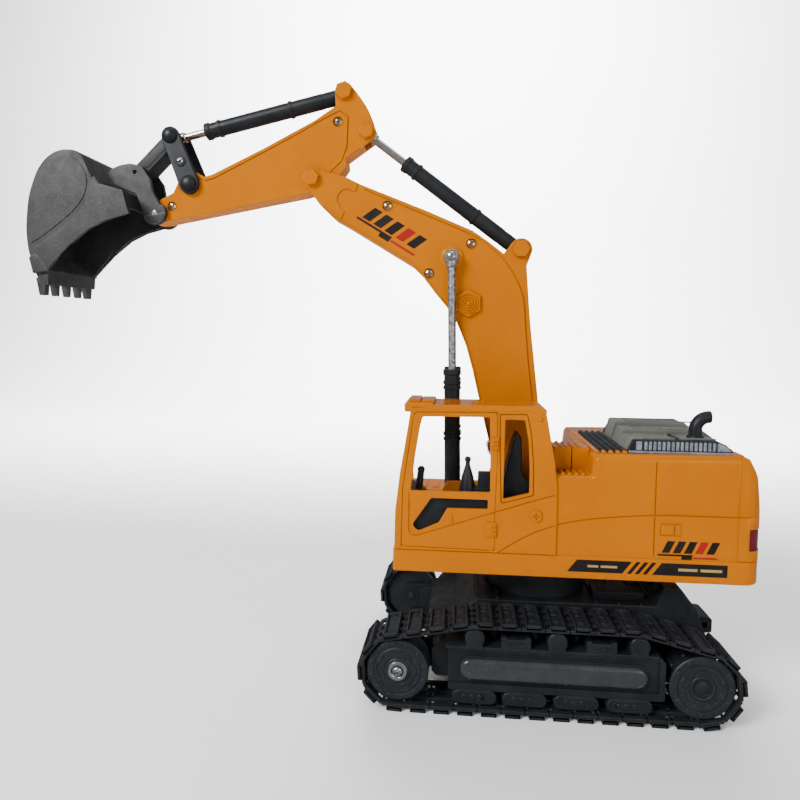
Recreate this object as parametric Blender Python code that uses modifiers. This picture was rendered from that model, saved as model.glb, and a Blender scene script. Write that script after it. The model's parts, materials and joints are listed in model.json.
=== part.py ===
"""Toy excavator: a tracked undercarriage, a slewing house with a cab, and a boom, stick and bucket.

Sizes are in millimetres, measured from the point on the ground below the slew axis: x runs to the
rear, y to the operator's right and z up. at() turns such a point into metres, with the origin under
the middle of the whole machine.
"""
import math

import bmesh
import bpy
from mathutils import Matrix, Vector

MM = 0.001
SLEW_X = 95.4       # how far the slew axis stands behind the middle of the machine
GAP = 0.3           # play between pieces that touch
WALL = 2.0          # plastic wall
PIN_PLAY = 0.3      # radial play of a pin in its hole

# Tracks
TRACK_IN, TRACK_OUT = 36.5, 64.0
AXLE_Z = 21.0
IDLER_X, SPROCKET_X = -76.0, 78.0
WHEEL_R = 16.5
BELT_R = 17.0
ROLLER_R = 5.5
ROLLERS = ((-36.0, 40.5), (6.0, 40.5), (47.0, 40.5))
LINKS = 34
LINK_THICK, GROUSER = 2.0, 2.0
AXLE_R = 2.0

# House
FLOOR_Z, SKIRT_Z = 71.0, 83.0
HOUSE_Y = 52.0
HOUSE_FRONT, HOUSE_REAR = -80.0, 108.6
CAB_OUT, CAB_IN = 53.0, 20.5
CHANNEL = 20.0      # half width of the boom's channel
STEP_Z, DECK_Z = 120.0, 135.6
SHELL_FRONT, SHELL_REAR = 5.5, 95.7

# Pivots of the arm, as (x, z)
BOOM_FOOT = (-8.0, 106.0)
BOOM_EYE = (-51.8, 241.0)
BARREL_FOOT = (-48.8, 84.5)
STICK_PIVOT = (-134.0, 287.0)
STICK_EYE = (-102.2, 313.6)
STICK_FOOT = (-12.4, 245.8)
BUCKET_PIVOT = (-229.6, 267.7)
BUCKET_FOOT = (-115.6, 336.6)
ROCKER_PIVOT = (-208.0, 284.5)
ROCKER_TOP = (-219.2, 312.6)
EAR_HOLE = (-241.0, 291.5)

BOOM_Y, STICK_Y = 9.5, 7.0
FORK_Y = 7.3        # inside of the boom's fork
EAR_SLOT = 4.3      # half width of the slots that hold a cylinder's end
CYLINDER_Y = 14.6   # the boom's two cylinders, either side of it
BUCKET_Y = 24.0

ROUND = 24          # sides of a round piece
FINE = 36

PARTS = None
CUTTERS = None


# ---------------------------------------------------------------- the scene and its materials

def clear_scene():
    for obj in list(bpy.data.objects):
        bpy.data.objects.remove(obj)


def new_collection(name, hidden=False):
    made = bpy.data.collections.new(name)
    made.hide_render = hidden
    bpy.context.scene.collection.children.link(made)
    return made


def material(name, colour, roughness, metallic=0.0):
    made = bpy.data.materials.new(name)
    made.use_nodes = True
    shader = made.node_tree.nodes["Principled BSDF"]
    shader.inputs["Base Color"].default_value = (*colour, 1.0)
    shader.inputs["Roughness"].default_value = roughness
    shader.inputs["Metallic"].default_value = metallic
    made.diffuse_color = (*colour, 1.0)
    return made


def at(x, y, z):
    return Vector(((x + SLEW_X) * MM, y * MM, z * MM))


# ---------------------------------------------------------------- outlines

def arc(centre, radius, start, end, steps=8):
    """Points of an arc, between two angles in degrees."""
    angles = [math.radians(start + (end - start) * i / steps) for i in range(steps + 1)]
    return [(centre[0] + radius * math.cos(a), centre[1] + radius * math.sin(a)) for a in angles]


def capsule(a, b, radius_a, radius_b, steps=8):
    """A strap with round ends about a and b."""
    turn = math.degrees(math.atan2(b[1] - a[1], b[0] - a[0]))
    return arc(a, radius_a, turn + 90, turn + 270, steps) + arc(b, radius_b, turn - 90, turn + 90, steps)


def rectangle(low, high):
    return [(low[0], low[1]), (high[0], low[1]), (high[0], high[1]), (low[0], high[1])]


def area(outline):
    return sum(a[0] * b[1] - b[0] * a[1] for a, b in zip(outline, outline[1:] + outline[:1])) / 2


def inset(outline, distance):
    """The outline moved inwards, its corners mitred."""
    side = 1 if area(outline) > 0 else -1
    moved = []
    for i, here in enumerate(outline):
        before, after = outline[i - 1], outline[(i + 1) % len(outline)]
        u = Vector((here[0] - before[0], here[1] - before[1])).normalized()
        v = Vector((after[0] - here[0], after[1] - here[1])).normalized()
        inward = (Vector((-u.y, u.x)) + Vector((-v.y, v.x))) * side
        inward *= distance / max(0.35, 1 + u.dot(v))
        moved.append((here[0] + inward.x, here[1] + inward.y))
    return moved


# ---------------------------------------------------------------- pieces

def add(name, mesh, look, body, smooth=True):
    obj = bpy.data.objects.new(name, mesh)
    PARTS.objects.link(obj)
    if not mesh.materials:
        mesh.materials.append(look)
    if smooth:
        mesh.shade_smooth()
        mesh.set_sharp_from_angle(angle=math.radians(35))
    if body is not None:
        obj.parent = body
        obj.matrix_parent_inverse = Matrix.Translation(body["world"]).inverted()
    return obj


def joint(name, place, parent=None):
    """An empty on a joint's axis, which carries the pieces that move with it."""
    empty = bpy.data.objects.new(name, None)
    empty["world"] = place
    empty.empty_display_size = 5 * MM
    PARTS.objects.link(empty)
    empty.location = place
    if parent is not None:
        empty.parent = parent
        empty.matrix_parent_inverse = Matrix.Translation(parent["world"]).inverted()
    return empty


def mesh_from_curve(name, outlines, half):
    """A flat outline with holes, given thickness, as a closed mesh."""
    curve = bpy.data.curves.new(name, "CURVE")
    curve.dimensions = "2D"
    curve.fill_mode = "BOTH"
    curve.extrude = half * MM
    for outline in outlines:
        spline = curve.splines.new("POLY")
        spline.points.add(len(outline) - 1)
        for point, (u, v) in zip(spline.points, outline):
            point.co = (u * MM, v * MM, 0, 1)
        spline.use_cyclic_u = True
    guide = bpy.data.objects.new(name + "_outline", curve)
    bpy.context.scene.collection.objects.link(guide)
    depsgraph = bpy.context.evaluated_depsgraph_get()
    mesh = bpy.data.meshes.new_from_object(guide.evaluated_get(depsgraph))
    bpy.data.objects.remove(guide)
    weld = bmesh.new()
    weld.from_mesh(mesh)
    bmesh.ops.remove_doubles(weld, verts=weld.verts, dist=0.001 * MM)
    weld.to_mesh(mesh)
    weld.free()
    return mesh


def plate(name, outline, y_low, y_high, look=None, body=None, holes=()):
    """An outline in x and z, from y_low to y_high."""
    mesh = mesh_from_curve(name, [outline, *holes], (y_high - y_low) / 2)
    mesh.transform(Matrix.Rotation(math.pi / 2, 4, "X"))
    mesh.transform(Matrix.Translation(at(0, (y_low + y_high) / 2, 0)))
    return add(name, mesh, look, body)


def slab(name, outline, z_low, z_high, look=None, body=None, holes=()):
    """An outline in x and y, from z_low to z_high."""
    mesh = mesh_from_curve(name, [outline, *holes], (z_high - z_low) / 2)
    mesh.transform(Matrix.Translation(at(0, 0, (z_low + z_high) / 2)))
    return add(name, mesh, look, body)


def box(name, low, high, look=None, body=None):
    made = bmesh.new()
    bmesh.ops.create_cube(made, size=1)
    size = [(b - a) * MM for a, b in zip(low, high)]
    middle = at(*[(a + b) / 2 for a, b in zip(low, high)])
    bmesh.ops.transform(made, matrix=Matrix.Translation(middle) @ Matrix.Diagonal((*size, 1)),
                        verts=made.verts)
    mesh = bpy.data.meshes.new(name)
    made.to_mesh(mesh)
    made.free()
    return add(name, mesh, look, body, smooth=False)


def rod(name, start, end, radius, look=None, body=None, sides=ROUND):
    """A round bar between two points."""
    a, b = at(*start), at(*end)
    made = bmesh.new()
    bmesh.ops.create_cone(made, cap_ends=True, segments=sides, radius1=radius * MM, radius2=radius * MM,
                          depth=(b - a).length)
    turn = (b - a).to_track_quat("Z", "Y").to_matrix().to_4x4()
    bmesh.ops.transform(made, matrix=Matrix.Translation((a + b) / 2) @ turn, verts=made.verts)
    mesh = bpy.data.meshes.new(name)
    made.to_mesh(mesh)
    made.free()
    return add(name, mesh, look, body)


def pin(name, place, y_low, y_high, radius, look=None, body=None, sides=ROUND):
    """A round bar across the machine."""
    return rod(name, (place[0], y_low, place[1]), (place[0], y_high, place[1]), radius, look, body, sides)


def turned(name, profile, place, direction, look, body, sides=ROUND):
    """A turned piece: (radius, height) pairs, down the outer side, about a line through place."""
    made = bmesh.new()
    ring = [made.verts.new((r * MM, 0, h * MM)) for r, h in profile]
    for a, b in zip(ring, ring[1:]):
        made.edges.new((a, b))
    mesh = bpy.data.meshes.new(name)
    made.to_mesh(mesh)
    made.free()
    guide = bpy.data.objects.new(name + "_profile", mesh)
    bpy.context.scene.collection.objects.link(guide)
    screw = guide.modifiers.new("turn", "SCREW")
    screw.steps = screw.render_steps = sides
    screw.use_merge_vertices = True
    screw.merge_threshold = 0.001 * MM
    depsgraph = bpy.context.evaluated_depsgraph_get()
    round_mesh = bpy.data.meshes.new_from_object(guide.evaluated_get(depsgraph))
    bpy.data.objects.remove(guide)
    turn = Vector(direction).to_track_quat("Z", "Y").to_matrix().to_4x4()
    round_mesh.transform(Matrix.Translation(at(*place)) @ turn)
    return add(name, round_mesh, look, body)


def combine(target, operation, *tools):
    """Cuts, joins or intersects the target with the tools, which are then kept only as guides."""
    for tool in tools:
        change = target.modifiers.new(operation.lower(), "BOOLEAN")
        change.operation = operation
        change.solver = "EXACT"
        change.object = tool
        PARTS.objects.unlink(tool)
        CUTTERS.objects.link(tool)
        tool.hide_render = True
        tool.display_type = "WIRE"
    return target


def cut(target, *tools):
    return combine(target, "DIFFERENCE", *tools)


def join(target, *tools):
    return combine(target, "UNION", *tools)


def bore(target, place, radius, y_low=-70, y_high=70, sides=ROUND):
    return cut(target, pin(target.name + "_bore", place, y_low, y_high, radius, sides=sides))


def mirrored(y_low, y_high, side):
    """A stretch of y on the left (side -1) or right (side 1)."""
    return (y_low, y_high) if side > 0 else (-y_high, -y_low)


SIDES = (("left", -1), ("right", 1))


# ---------------------------------------------------------------- tracks

def belt_wheels():
    """The wheels that the belt runs round, in order over the top and back: centre and radius."""
    rollers = [(place, ROLLER_R) for place in ROLLERS]
    return [((IDLER_X, AXLE_Z), BELT_R), *rollers, ((SPROCKET_X, AXLE_Z), BELT_R)]


def belt_course():
    """The belt's inner path: (start point, end point) runs and (centre, radius, from, to) bends."""
    wheels = belt_wheels()
    course, arrive = [], math.radians(270)
    for (here, r), (there, s) in zip(wheels, wheels[1:] + wheels[:1]):
        gap = Vector((there[0] - here[0], there[1] - here[1]))
        leave = math.atan2(gap.y, gap.x) + math.acos(max(-1, min(1, (r - s) / gap.length)))
        leave = math.remainder(leave, math.tau)
        sweep = (arrive - leave) % math.tau
        if sweep > math.pi * 1.5:
            sweep = 0
        course.append(("bend", here, r, leave + sweep, leave))
        a = Vector(here) + r * Vector((math.cos(leave), math.sin(leave)))
        b = Vector(there) + s * Vector((math.cos(leave), math.sin(leave)))
        course.append(("run", a, b))
        arrive = leave
    return course


def belt_samples():
    """(length, point, outward direction) along the belt's inner path."""
    samples, length = [], 0.0
    for item in belt_course():
        if item[0] == "run":
            a, b = item[1], item[2]
            along = (b - a).normalized()
            out = Vector((-along.y, along.x))
            steps = max(1, int((b - a).length))
            for i in range(steps):
                samples.append((length + (b - a).length * i / steps, a.lerp(b, i / steps), out))
            length += (b - a).length
        else:
            centre, r, start, end = Vector(item[1]), item[2], item[3], item[4]
            steps = max(1, int(abs(end - start) * r))
            for i in range(steps):
                angle = start + (end - start) * i / steps
                out = Vector((math.cos(angle), math.sin(angle)))
                samples.append((length + abs(end - start) * r * i / steps, centre + out * r, out))
            length += abs(end - start) * r
    return samples, length


def belt_point(samples, length, s, height):
    """The point at length s along the belt, at a height above its inner face."""
    s %= length
    index = max(i for i, sample in enumerate(samples) if sample[0] <= s + 1e-9)
    here, after = samples[index], samples[(index + 1) % len(samples)]
    span = (after[0] if index + 1 < len(samples) else length) - here[0]
    t = (s - here[0]) / span
    out = here[2].lerp(after[2], t).normalized()
    point = here[1].lerp(after[1], t) + out * height
    return point.x, point.y


def belt_outlines():
    samples, length = belt_samples()
    pitch = length / LINKS
    outer, inner = [], []
    for link in range(LINKS):
        start = link * pitch
        for part, height in ((0, 1), (0.2, 1), (0.2, 0), (0.6, 0), (1, 0)):
            outer.append(belt_point(samples, length, start + part * pitch, LINK_THICK + height * GROUSER))
        for part in (0, 0.25, 0.5, 0.75):
            inner.append(belt_point(samples, length, start + part * pitch, 0))
    return outer, inner


def make_tracks(looks, root):
    black = looks["black"]
    outer, inner = belt_outlines()
    for label, side in SIDES:
        y_low, y_high = mirrored(TRACK_IN, TRACK_OUT, side)
        plate(f"{label}_track_belt", outer, y_low, y_high, black, root, holes=[inner])

        frame_outline = [(-58.5, 14), (-58.5, 26), (-48, 35.5), (56, 35.5), (60.5, 31), (60.5, 14), (54, 8),
                         (-52, 8)]
        frame = plate(f"{label}_track_frame", frame_outline, *mirrored(34 + GAP, 61, side), black, root)
        arm = plate(f"{label}_idler_arm", capsule((-50, AXLE_Z), (IDLER_X, AXLE_Z), 8, 8),
                    *mirrored(37.3, 40, side))
        rollers = [pin(f"{label}_roller_{i}", place, *mirrored(42, 62, side), ROLLER_R - 0.4)
                   for i, place in enumerate(ROLLERS)]
        join(frame, arm, *rollers)
        bore(frame, (IDLER_X, AXLE_Z), AXLE_R + PIN_PLAY, *mirrored(30, 41, side))

        for kind, x, shaft_end in (("idler", IDLER_X, 36.6), ("sprocket", SPROCKET_X, 31.8)):
            axis = joint(f"{label}_{kind}_axis", at(x, side * 50, AXLE_Z), root)
            wheel = turned(f"{label}_{kind}", [(0, 21.5), (6, 21.5), (6, 20.5), (WHEEL_R, 20.5),
                                                    (WHEEL_R, 0), (0, 0)],
                           (x, side * 41, AXLE_Z), (0, side, 0), black, axis, FINE)
            join(wheel, pin(f"{label}_{kind}_shaft", (x, AXLE_Z), *mirrored(shaft_end, 42, side), AXLE_R))
            if kind == "idler":
                turned(f"{label}_idler_screw", [(0, 1.5), (1.6, 1.4), (2.4, 0.6), (3.6, 0.5), (3.6, 0), (0, 0)],
                       (x, side * (62.5 + GAP), AXLE_Z), (0, side, 0), looks["steel"], axis)


# ---------------------------------------------------------------- chassis

def make_chassis(looks, root):
    black = looks["black"]
    side_view = [(-62, 13), (-62, 38), (-40, 50.7), (62, 50.7), (66, 61), (75, 61), (83.5, 50), (88, 43),
                 (95.5, 41), (95.5, 36), (88, 36), (88, 13)]
    chassis = plate("chassis_frame", side_view, -34, 34, black, root)
    cut(chassis, box("chassis_hollow", (-38, -31.5, 5), (85.5, 31.5, 47.5)))
    bore(chassis, (SPROCKET_X, AXLE_Z), AXLE_R + PIN_PLAY)
    slab("chassis_cover", rectangle((-61, -33), (87, 33)), 10.7, 13 - GAP, black, root)
    for label, side in SIDES:
        near, far = mirrored(19, 31.2, side)
        motor = box(f"{label}_drive_motor", (68, near, 13.4), (85, far, 31), looks["grey"], root)
        join(motor, pin(f"{label}_motor_can", (77, 22.4), *mirrored(3, 20, side), 7))
    pedestal = rod("turntable_pedestal", (0, 0, 51), (0, 0, 58), 29, black, root, FINE)
    join(pedestal, rod("pedestal_neck", (0, 0, 57), (0, 0, 66), 25, sides=FINE))


# ---------------------------------------------------------------- house

def house_plan(low_x, high_x, half, radius=9):
    """The house from above: square at the front, its rear corners round."""
    rear = arc((high_x - radius, half - radius), radius, 90, 0, 6)
    return [(low_x, -half), (low_x, half), *rear, *[(x, -y) for x, y in reversed(rear)]]


def make_house(looks, house):
    orange, black, hood_grey = looks["orange"], looks["black"], looks["hood"]
    rod("slew_ring", (0, 0, 66 + GAP), (0, 0, FLOOR_Z - GAP), 23, black, house, FINE)

    base = slab("house_base", house_plan(HOUSE_FRONT, HOUSE_REAR, HOUSE_Y), FLOOR_Z, SKIRT_Z, orange, house)
    cut(base, slab("base_pocket", house_plan(HOUSE_FRONT + WALL, HOUSE_REAR - WALL, HOUSE_Y - WALL, 7),
                   FLOOR_Z + 2.7, SKIRT_Z + 5))

    body_z = SKIRT_Z + GAP
    side_view = [(SHELL_FRONT, body_z), (SHELL_FRONT, STEP_Z), (22.3, STEP_Z), (22.3, 132.6), (24.5, 134),
                 (53.4, 134.2), (SHELL_REAR, DECK_Z), (SHELL_REAR, body_z)]
    shell = plate("rear_shell", side_view, -HOUSE_Y, HOUSE_Y, orange, house)
    hollow = [(SHELL_FRONT + WALL, body_z - 5), (SHELL_FRONT + WALL, STEP_Z - WALL), (24.3, STEP_Z - WALL),
              (24.3, 131.6), (SHELL_REAR - WALL, 131.6), (SHELL_REAR - WALL, body_z - 5)]
    cut(shell, plate("shell_hollow", hollow, WALL - HOUSE_Y, HOUSE_Y - WALL))

    rear_x = SHELL_REAR + GAP
    profile = [(rear_x, body_z), (rear_x, DECK_Z), (98.5, 134.6), (103.4, 126), (107.4, 106), (HOUSE_REAR, 88),
               (HOUSE_REAR, body_z)]
    weight = plate("counterweight", profile, -HOUSE_Y, HOUSE_Y, orange, house)
    combine(weight, "INTERSECT", slab("weight_plan", house_plan(80, HOUSE_REAR, HOUSE_Y), 70, 150))
    cut(weight, box("weight_hollow", (90, -47, 87), (101, 47, 126)))
    for label, side in SIDES:
        near, far = mirrored(41, 60, side)
        cut(weight, box(f"{label}_light_pocket", (101.5, near, 88), (112, far, 104)))
        light = slab(f"{label}_tail_light", house_plan(80, HOUSE_REAR - 0.6, HOUSE_Y - 0.6),
                     88 + GAP, 104 - GAP,
                     looks["red"], house)
        near, far = mirrored(41 + GAP, 60, side)
        combine(light, "INTERSECT", box(f"{label}_light_block", (101.5 + GAP, near, 80), (110, far, 110)))

    deck = DECK_Z + GAP
    hood = box("engine_hood", (47.5, -42, deck), (93, 14, deck + 7.6), hood_grey, house)
    cut(hood, box("hood_low", (40, -60, deck + 5.6), (99, -22, 160)))
    join(hood, box("hood_high", (46.5, -3, deck + 5), (86, 14, deck + 9.4)))
    cut(hood, rod("exhaust_hole", (80, -35, deck + 3), (80, -35, 160), 3 + GAP))
    for label, side in SIDES:
        low, high = ((-46.6, -42 - GAP) if side < 0 else (14 + GAP, 18.6))
        grille_view = [(47, deck), (47, deck + 5.4), (87, deck + 5.4), (90.5, deck + 3.6), (93.5, deck)]
        plate(f"{label}_grille", grille_view, low, high, looks["grille"], house)
    vent = box("vent_panel", (25.5, -30, 134.2 + GAP), (45.5, 20, 136.3), black, house)
    for rib in range(5):
        x = 27.5 + rib * 4
        join(vent, rod(f"vent_rib_{rib}", (x, -29.5, 136.3), (x, 19.5, 136.3), 1.2, sides=8))

    make_exhaust(looks, house, deck)
    make_cab(looks, house)
    side_box = box("right_side_box", (HOUSE_FRONT + 1, CHANNEL + 0.5, body_z), (SHELL_FRONT - GAP, HOUSE_Y, 98),
                   orange, house)
    cut(side_box, box("side_box_hollow", (HOUSE_FRONT + 3, CHANNEL + 2.5, 70), (SHELL_FRONT - 2.3, HOUSE_Y - 2, 96)))
    make_boom_mount(looks, house)
    box("battery_pack", (50, -26, 74.2), (88, 26, 92), looks["grey"], house)
    box("control_board", (14, -44, 77), (46, -20, 79), looks["green"], house)
    motor = box("boom_motor", (9, -11, 74.2), (30, 11, 100), looks["grey"], house)
    join(motor, rod("boom_motor_can", (29, 0, 88), (46, 0, 88), 9))


def make_exhaust(looks, house, deck):
    """A pipe that stands on the hood and bends to the rear."""
    bend_x, bend_z, bend_r = 80 + 6.5, 151.2, 6.5
    path = [(80, deck + 4), (80, bend_z)] + arc((bend_x, bend_z), bend_r, 165, 90, 6) + [(89.0, 157.6)]
    curve = bpy.data.curves.new("exhaust_pipe", "CURVE")
    curve.dimensions = "3D"
    curve.bevel_depth = 2.9 * MM
    curve.bevel_resolution = 3
    curve.use_fill_caps = True
    spline = curve.splines.new("POLY")
    spline.points.add(len(path) - 1)
    for point, (x, z) in zip(spline.points, path):
        point.co = (*at(x, -35, z), 1)
    guide = bpy.data.objects.new("exhaust_route", curve)
    bpy.context.scene.collection.objects.link(guide)
    depsgraph = bpy.context.evaluated_depsgraph_get()
    mesh = bpy.data.meshes.new_from_object(guide.evaluated_get(depsgraph))
    bpy.data.objects.remove(guide)
    weld = bmesh.new()
    weld.from_mesh(mesh)
    bmesh.ops.remove_doubles(weld, verts=weld.verts, dist=0.001 * MM)
    weld.to_mesh(mesh)
    weld.free()
    pipe = add("exhaust_pipe", mesh, looks["black"], house)
    cut(pipe, rod("exhaust_mouth", (86, -35, 157.7), (95, -35, 157.7), 2))


def make_cab(looks, house):
    base_z = SKIRT_Z + GAP
    side_view = [(-79.2, base_z), (-78.9, 104), (-76.6, 124.5), (-71.6, 153.5), (-74.2, 156.6), (-74.2, 161.5),
                 (-58, 161.5), (-57, 160.6), (-2, 160.3), (0.6, 147), (SHELL_FRONT - GAP, STEP_Z),
                 (SHELL_FRONT - GAP, base_z)]
    cab = plate("cab_shell", side_view, -CAB_OUT, -CAB_IN, looks["orange"], house)
    hollow = [(-77, 70), (-76.7, 104), (-74.4, 124.5), (-68.8, 158.3), (-3.4, 158.3), (-1.6, 147),
              (SHELL_FRONT - 2.4, STEP_Z), (SHELL_FRONT - 2.4, 70)]
    cut(cab, plate("cab_hollow", hollow, -CAB_OUT + WALL, -CAB_IN - WALL))
    windows = {
        "main": [(-70.5, 114.8), (-64.2, 154.2), (-30.5, 154), (-30.4, 115.2)],
        "lower": [(-61, 110.6), (-30.4, 110.6), (-30.3, 106.1), (-51.5, 106), (-56.6, 96.8), (-65.4, 93.4),
                  (-69.4, 95.4)],
        "rear": [(-22.2, 153), (-11.5, 153), (-9.6, 140), (-9.6, 115.4), (-22.3, 112.3)],
    }
    for name, outline in windows.items():
        cut(cab, plate(f"cab_{name}_window", outline, -CAB_OUT - 5, -CAB_OUT + 5))
    far = [(-66, 122), (-56, 114.8), (-40, 114.8), (-28, 122), (-28, 154), (-62, 154)]
    cut(cab, plate("cab_far_window", far, -CAB_IN - 5, -CAB_IN + 5))
    cut(cab, box("cab_windscreen", (-90, -49, 92), (-66, -24.5, 152)))
    cut(cab, box("cab_back_window", (-6, -47, 124), (12, -27, 150)))

    inside_low, inside_high = -CAB_OUT + WALL + GAP, -CAB_IN - WALL - GAP
    interior = box("cab_interior", (-76, inside_low, 84), (2.5, inside_high, 88), looks["black"], house)
    join(interior,
         plate("side_console", [(-46, 87), (-46, 113), (-41, 119), (-36, 113), (-36, 87)], -47, -40),
         rod("console_lever", (-41, -43.5, 117), (-41, -43.5, 131), 1.3, sides=12),
         box("front_console", (-73, -47, 87), (-66, -28, 112)),
         rod("front_lever", (-68, -42, 111), (-67, -42, 127), 1.3, sides=12))
    seat_view = [(-33, 88 + GAP), (-33, 108), (-30, 110), (-19, 109), (-14, 147), (-11.5, 150), (-9, 147),
                 (-6.5, 108), (-6.5, 88 + GAP)]
    plate("operator_seat", seat_view, -46, -29, looks["black"], house)


def make_boom_mount(looks, house):
    """The bracket that carries the boom's foot pin and, in front, a bar below the cylinders' feet."""
    foot_x = BOOM_FOOT[0]
    bracket = box("boom_bracket", (-58, -18, 74.1), (4, 18, 77), looks["black"], house)
    for label, side in SIDES:
        cheek = capsule((foot_x, 78), BOOM_FOOT, 11, 9)
        join(bracket, plate(f"{label}_cheek", cheek, *mirrored(BOOM_Y + 0.4, BOOM_Y + 3.4, side)))
    cut(bracket, box("bracket_floor", (-60, -20, 60), (20, 20, 74.1)))
    join(bracket, box("foot_lug", (BARREL_FOOT[0] - 3, -8, 76.5), (BARREL_FOOT[0] + 3, 8, 85.5)))
    join(bracket, pin("foot_bar", BARREL_FOOT, -18, 18, 1.5, sides=12))
    bore(bracket, BOOM_FOOT, 2 + PIN_PLAY, sides=ROUND)
    pin("boom_foot_pin", BOOM_FOOT, -13, 13, 2, looks["steel"], house)


# ---------------------------------------------------------------- boom

def boom_outline():
    tip = arc(STICK_PIVOT, 5.4, 225, 75, 8)
    top = [(-115, 288), (-105.5, 283.3), (-66, 267.6), (-40, 256.4), (-31, 250.2), (-22.2, 243.4)]
    ears = arc(STICK_FOOT, 6.4, 150, -15, 8)
    back = [(-9, 236.5), (-6.4, 206), (-3.5, 182), (-1, 161.5)]
    foot = arc(BOOM_FOOT, 12, 8, -172, 12)
    belly = [(-28.2, 133.5), (-35, 160.8), (-38.6, 176), (-42.8, 190.6), (-48.3, 203.7), (-54.6, 213.2),
             (-62, 222), (-69, 231), (-74.7, 236.5), (-114.9, 260.6), (-121.5, 264.2), (-129, 271.4)]
    return tip + top + ears + back + foot + belly


def make_boom(looks, boom):
    orange = looks["orange"]
    outline = boom_outline()
    for label, side in SIDES:
        shell = plate(f"boom_{label}_shell", outline, *mirrored(GAP / 2, BOOM_Y, side), orange, boom)
        cut(shell,
            plate(f"boom_{label}_hollow", inset(outline, WALL), *mirrored(-1, BOOM_Y - WALL, side)),
            pin(f"boom_{label}_fork", STICK_PIVOT, *mirrored(-1, FORK_Y, side), 25, sides=FINE),
            pin(f"boom_{label}_slot", STICK_FOOT, *mirrored(-1, EAR_SLOT, side), 9),
            pin(f"boom_{label}_tip_hole", STICK_PIVOT, *mirrored(0, 20, side), 2 + PIN_PLAY, sides=16),
            pin(f"boom_{label}_ear_hole", STICK_FOOT, *mirrored(0, 20, side), 1.6 + PIN_PLAY, sides=16),
            pin(f"boom_{label}_eye_hole", BOOM_EYE, *mirrored(0, 20, side), 1.5 + PIN_PLAY, sides=16),
            pin(f"boom_{label}_foot_hole", BOOM_FOOT, *mirrored(0, 20, side), 2 + PIN_PLAY, sides=16))
    bolt("stick_pin", STICK_PIVOT, 2, 4.7, BOOM_Y + GAP, BOOM_Y + 2.6, orange, boom)
    bolt("stick_cylinder_foot_pin", STICK_FOOT, 1.6, 3.6, BOOM_Y + GAP, BOOM_Y + 1.8, orange, boom)
    bolt("boom_cylinder_pin", BOOM_EYE, 1.5, 2.8, CYLINDER_Y + 2.6, CYLINDER_Y + 4.6, looks["steel"], boom, ROUND)
    motor = box("stick_motor", (-100, -6, 256), (-76, 6, 266), looks["grey"], boom)
    join(motor, rod("stick_motor_can", (-77, 0, 257.5), (-56, 0, 247.5), 5.5))


def bolt(name, place, radius, head_radius, head_y, end_y, look, body, head_sides=6):
    """A pin across the machine with a head on each side."""
    shaft = pin(name, place, -head_y - 0.5, head_y + 0.5, radius, look, body, 16)
    for label, side in SIDES:
        join(shaft, pin(f"{name}_{label}_head", place, *mirrored(head_y, end_y, side), head_radius,
                        sides=head_sides))
    return shaft


# ---------------------------------------------------------------- cylinders

def cylinder(names, eye, foot, y, rod_size, barrel_size, bodies, looks):
    """A rod with an eye on its pin, and a hollow barrel that slides on it.

    rod_size is (radius, length, eye radius, eye half width, pin radius) and barrel_size is (radius,
    mouth, end): lengths are measured from the eye towards the foot.
    """
    radius, length, eye_radius, eye_half, pin_radius = rod_size
    barrel_radius, mouth, end = barrel_size
    along = Vector((foot[0] - eye[0], 0, foot[1] - eye[1])).normalized()
    start = Vector((eye[0], y, eye[1]))
    ram = rod(names[0], start + along, start + along * length, radius, looks["steel"], bodies[0])
    join(ram, pin(names[0] + "_eye", eye, y - eye_half, y + eye_half, eye_radius))
    bore(ram, eye, pin_radius + PIN_PLAY, y - 9, y + 9, 16)
    collar = barrel_radius + 0.6
    inside = radius + GAP
    floor = end - 7
    rings = []
    for middle in (mouth + 9, mouth + (end - mouth) * 0.52):
        rings += [(barrel_radius, middle - 2), (collar, middle - 1.6),
                  (collar, middle + 1.6), (barrel_radius, middle + 2)]
    profile = [(0, -floor), (inside, -floor), (inside, -mouth), (collar, -mouth), (collar, -mouth - 3),
               (barrel_radius, -mouth - 3.4), *[(r, -h) for r, h in rings], (barrel_radius, -end), (0, -end)]
    turned(names[1], profile, start, -along, looks["black"], bodies[1])


# ---------------------------------------------------------------- stick and bucket

def stick_outline():
    ear = arc(BUCKET_FOOT, 5.5, 165, 40, 6)
    back = [(-103.7, 327.4), (-98.9, 319)]
    tail = arc(STICK_EYE, 5.5, 10, -60, 4)
    heel = [(-114.2, 298.6), (-113.8, 294.5), (-117.5, 289.5), (-123.4, 283.2), (-137.8, 278.4), (-167.8, 272.9)]
    tip = arc(BUCKET_PIVOT, 6.2, 280, 100, 8)
    top = [(-219.5, 279.5), (-213.5, 288), (-205, 291.8), (-198.9, 289.3), (-193.8, 291), (-163.6, 305),
           (-132.9, 320.5), (-120.5, 328.5)]
    return ear + back + tail + heel + tip + top


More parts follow.
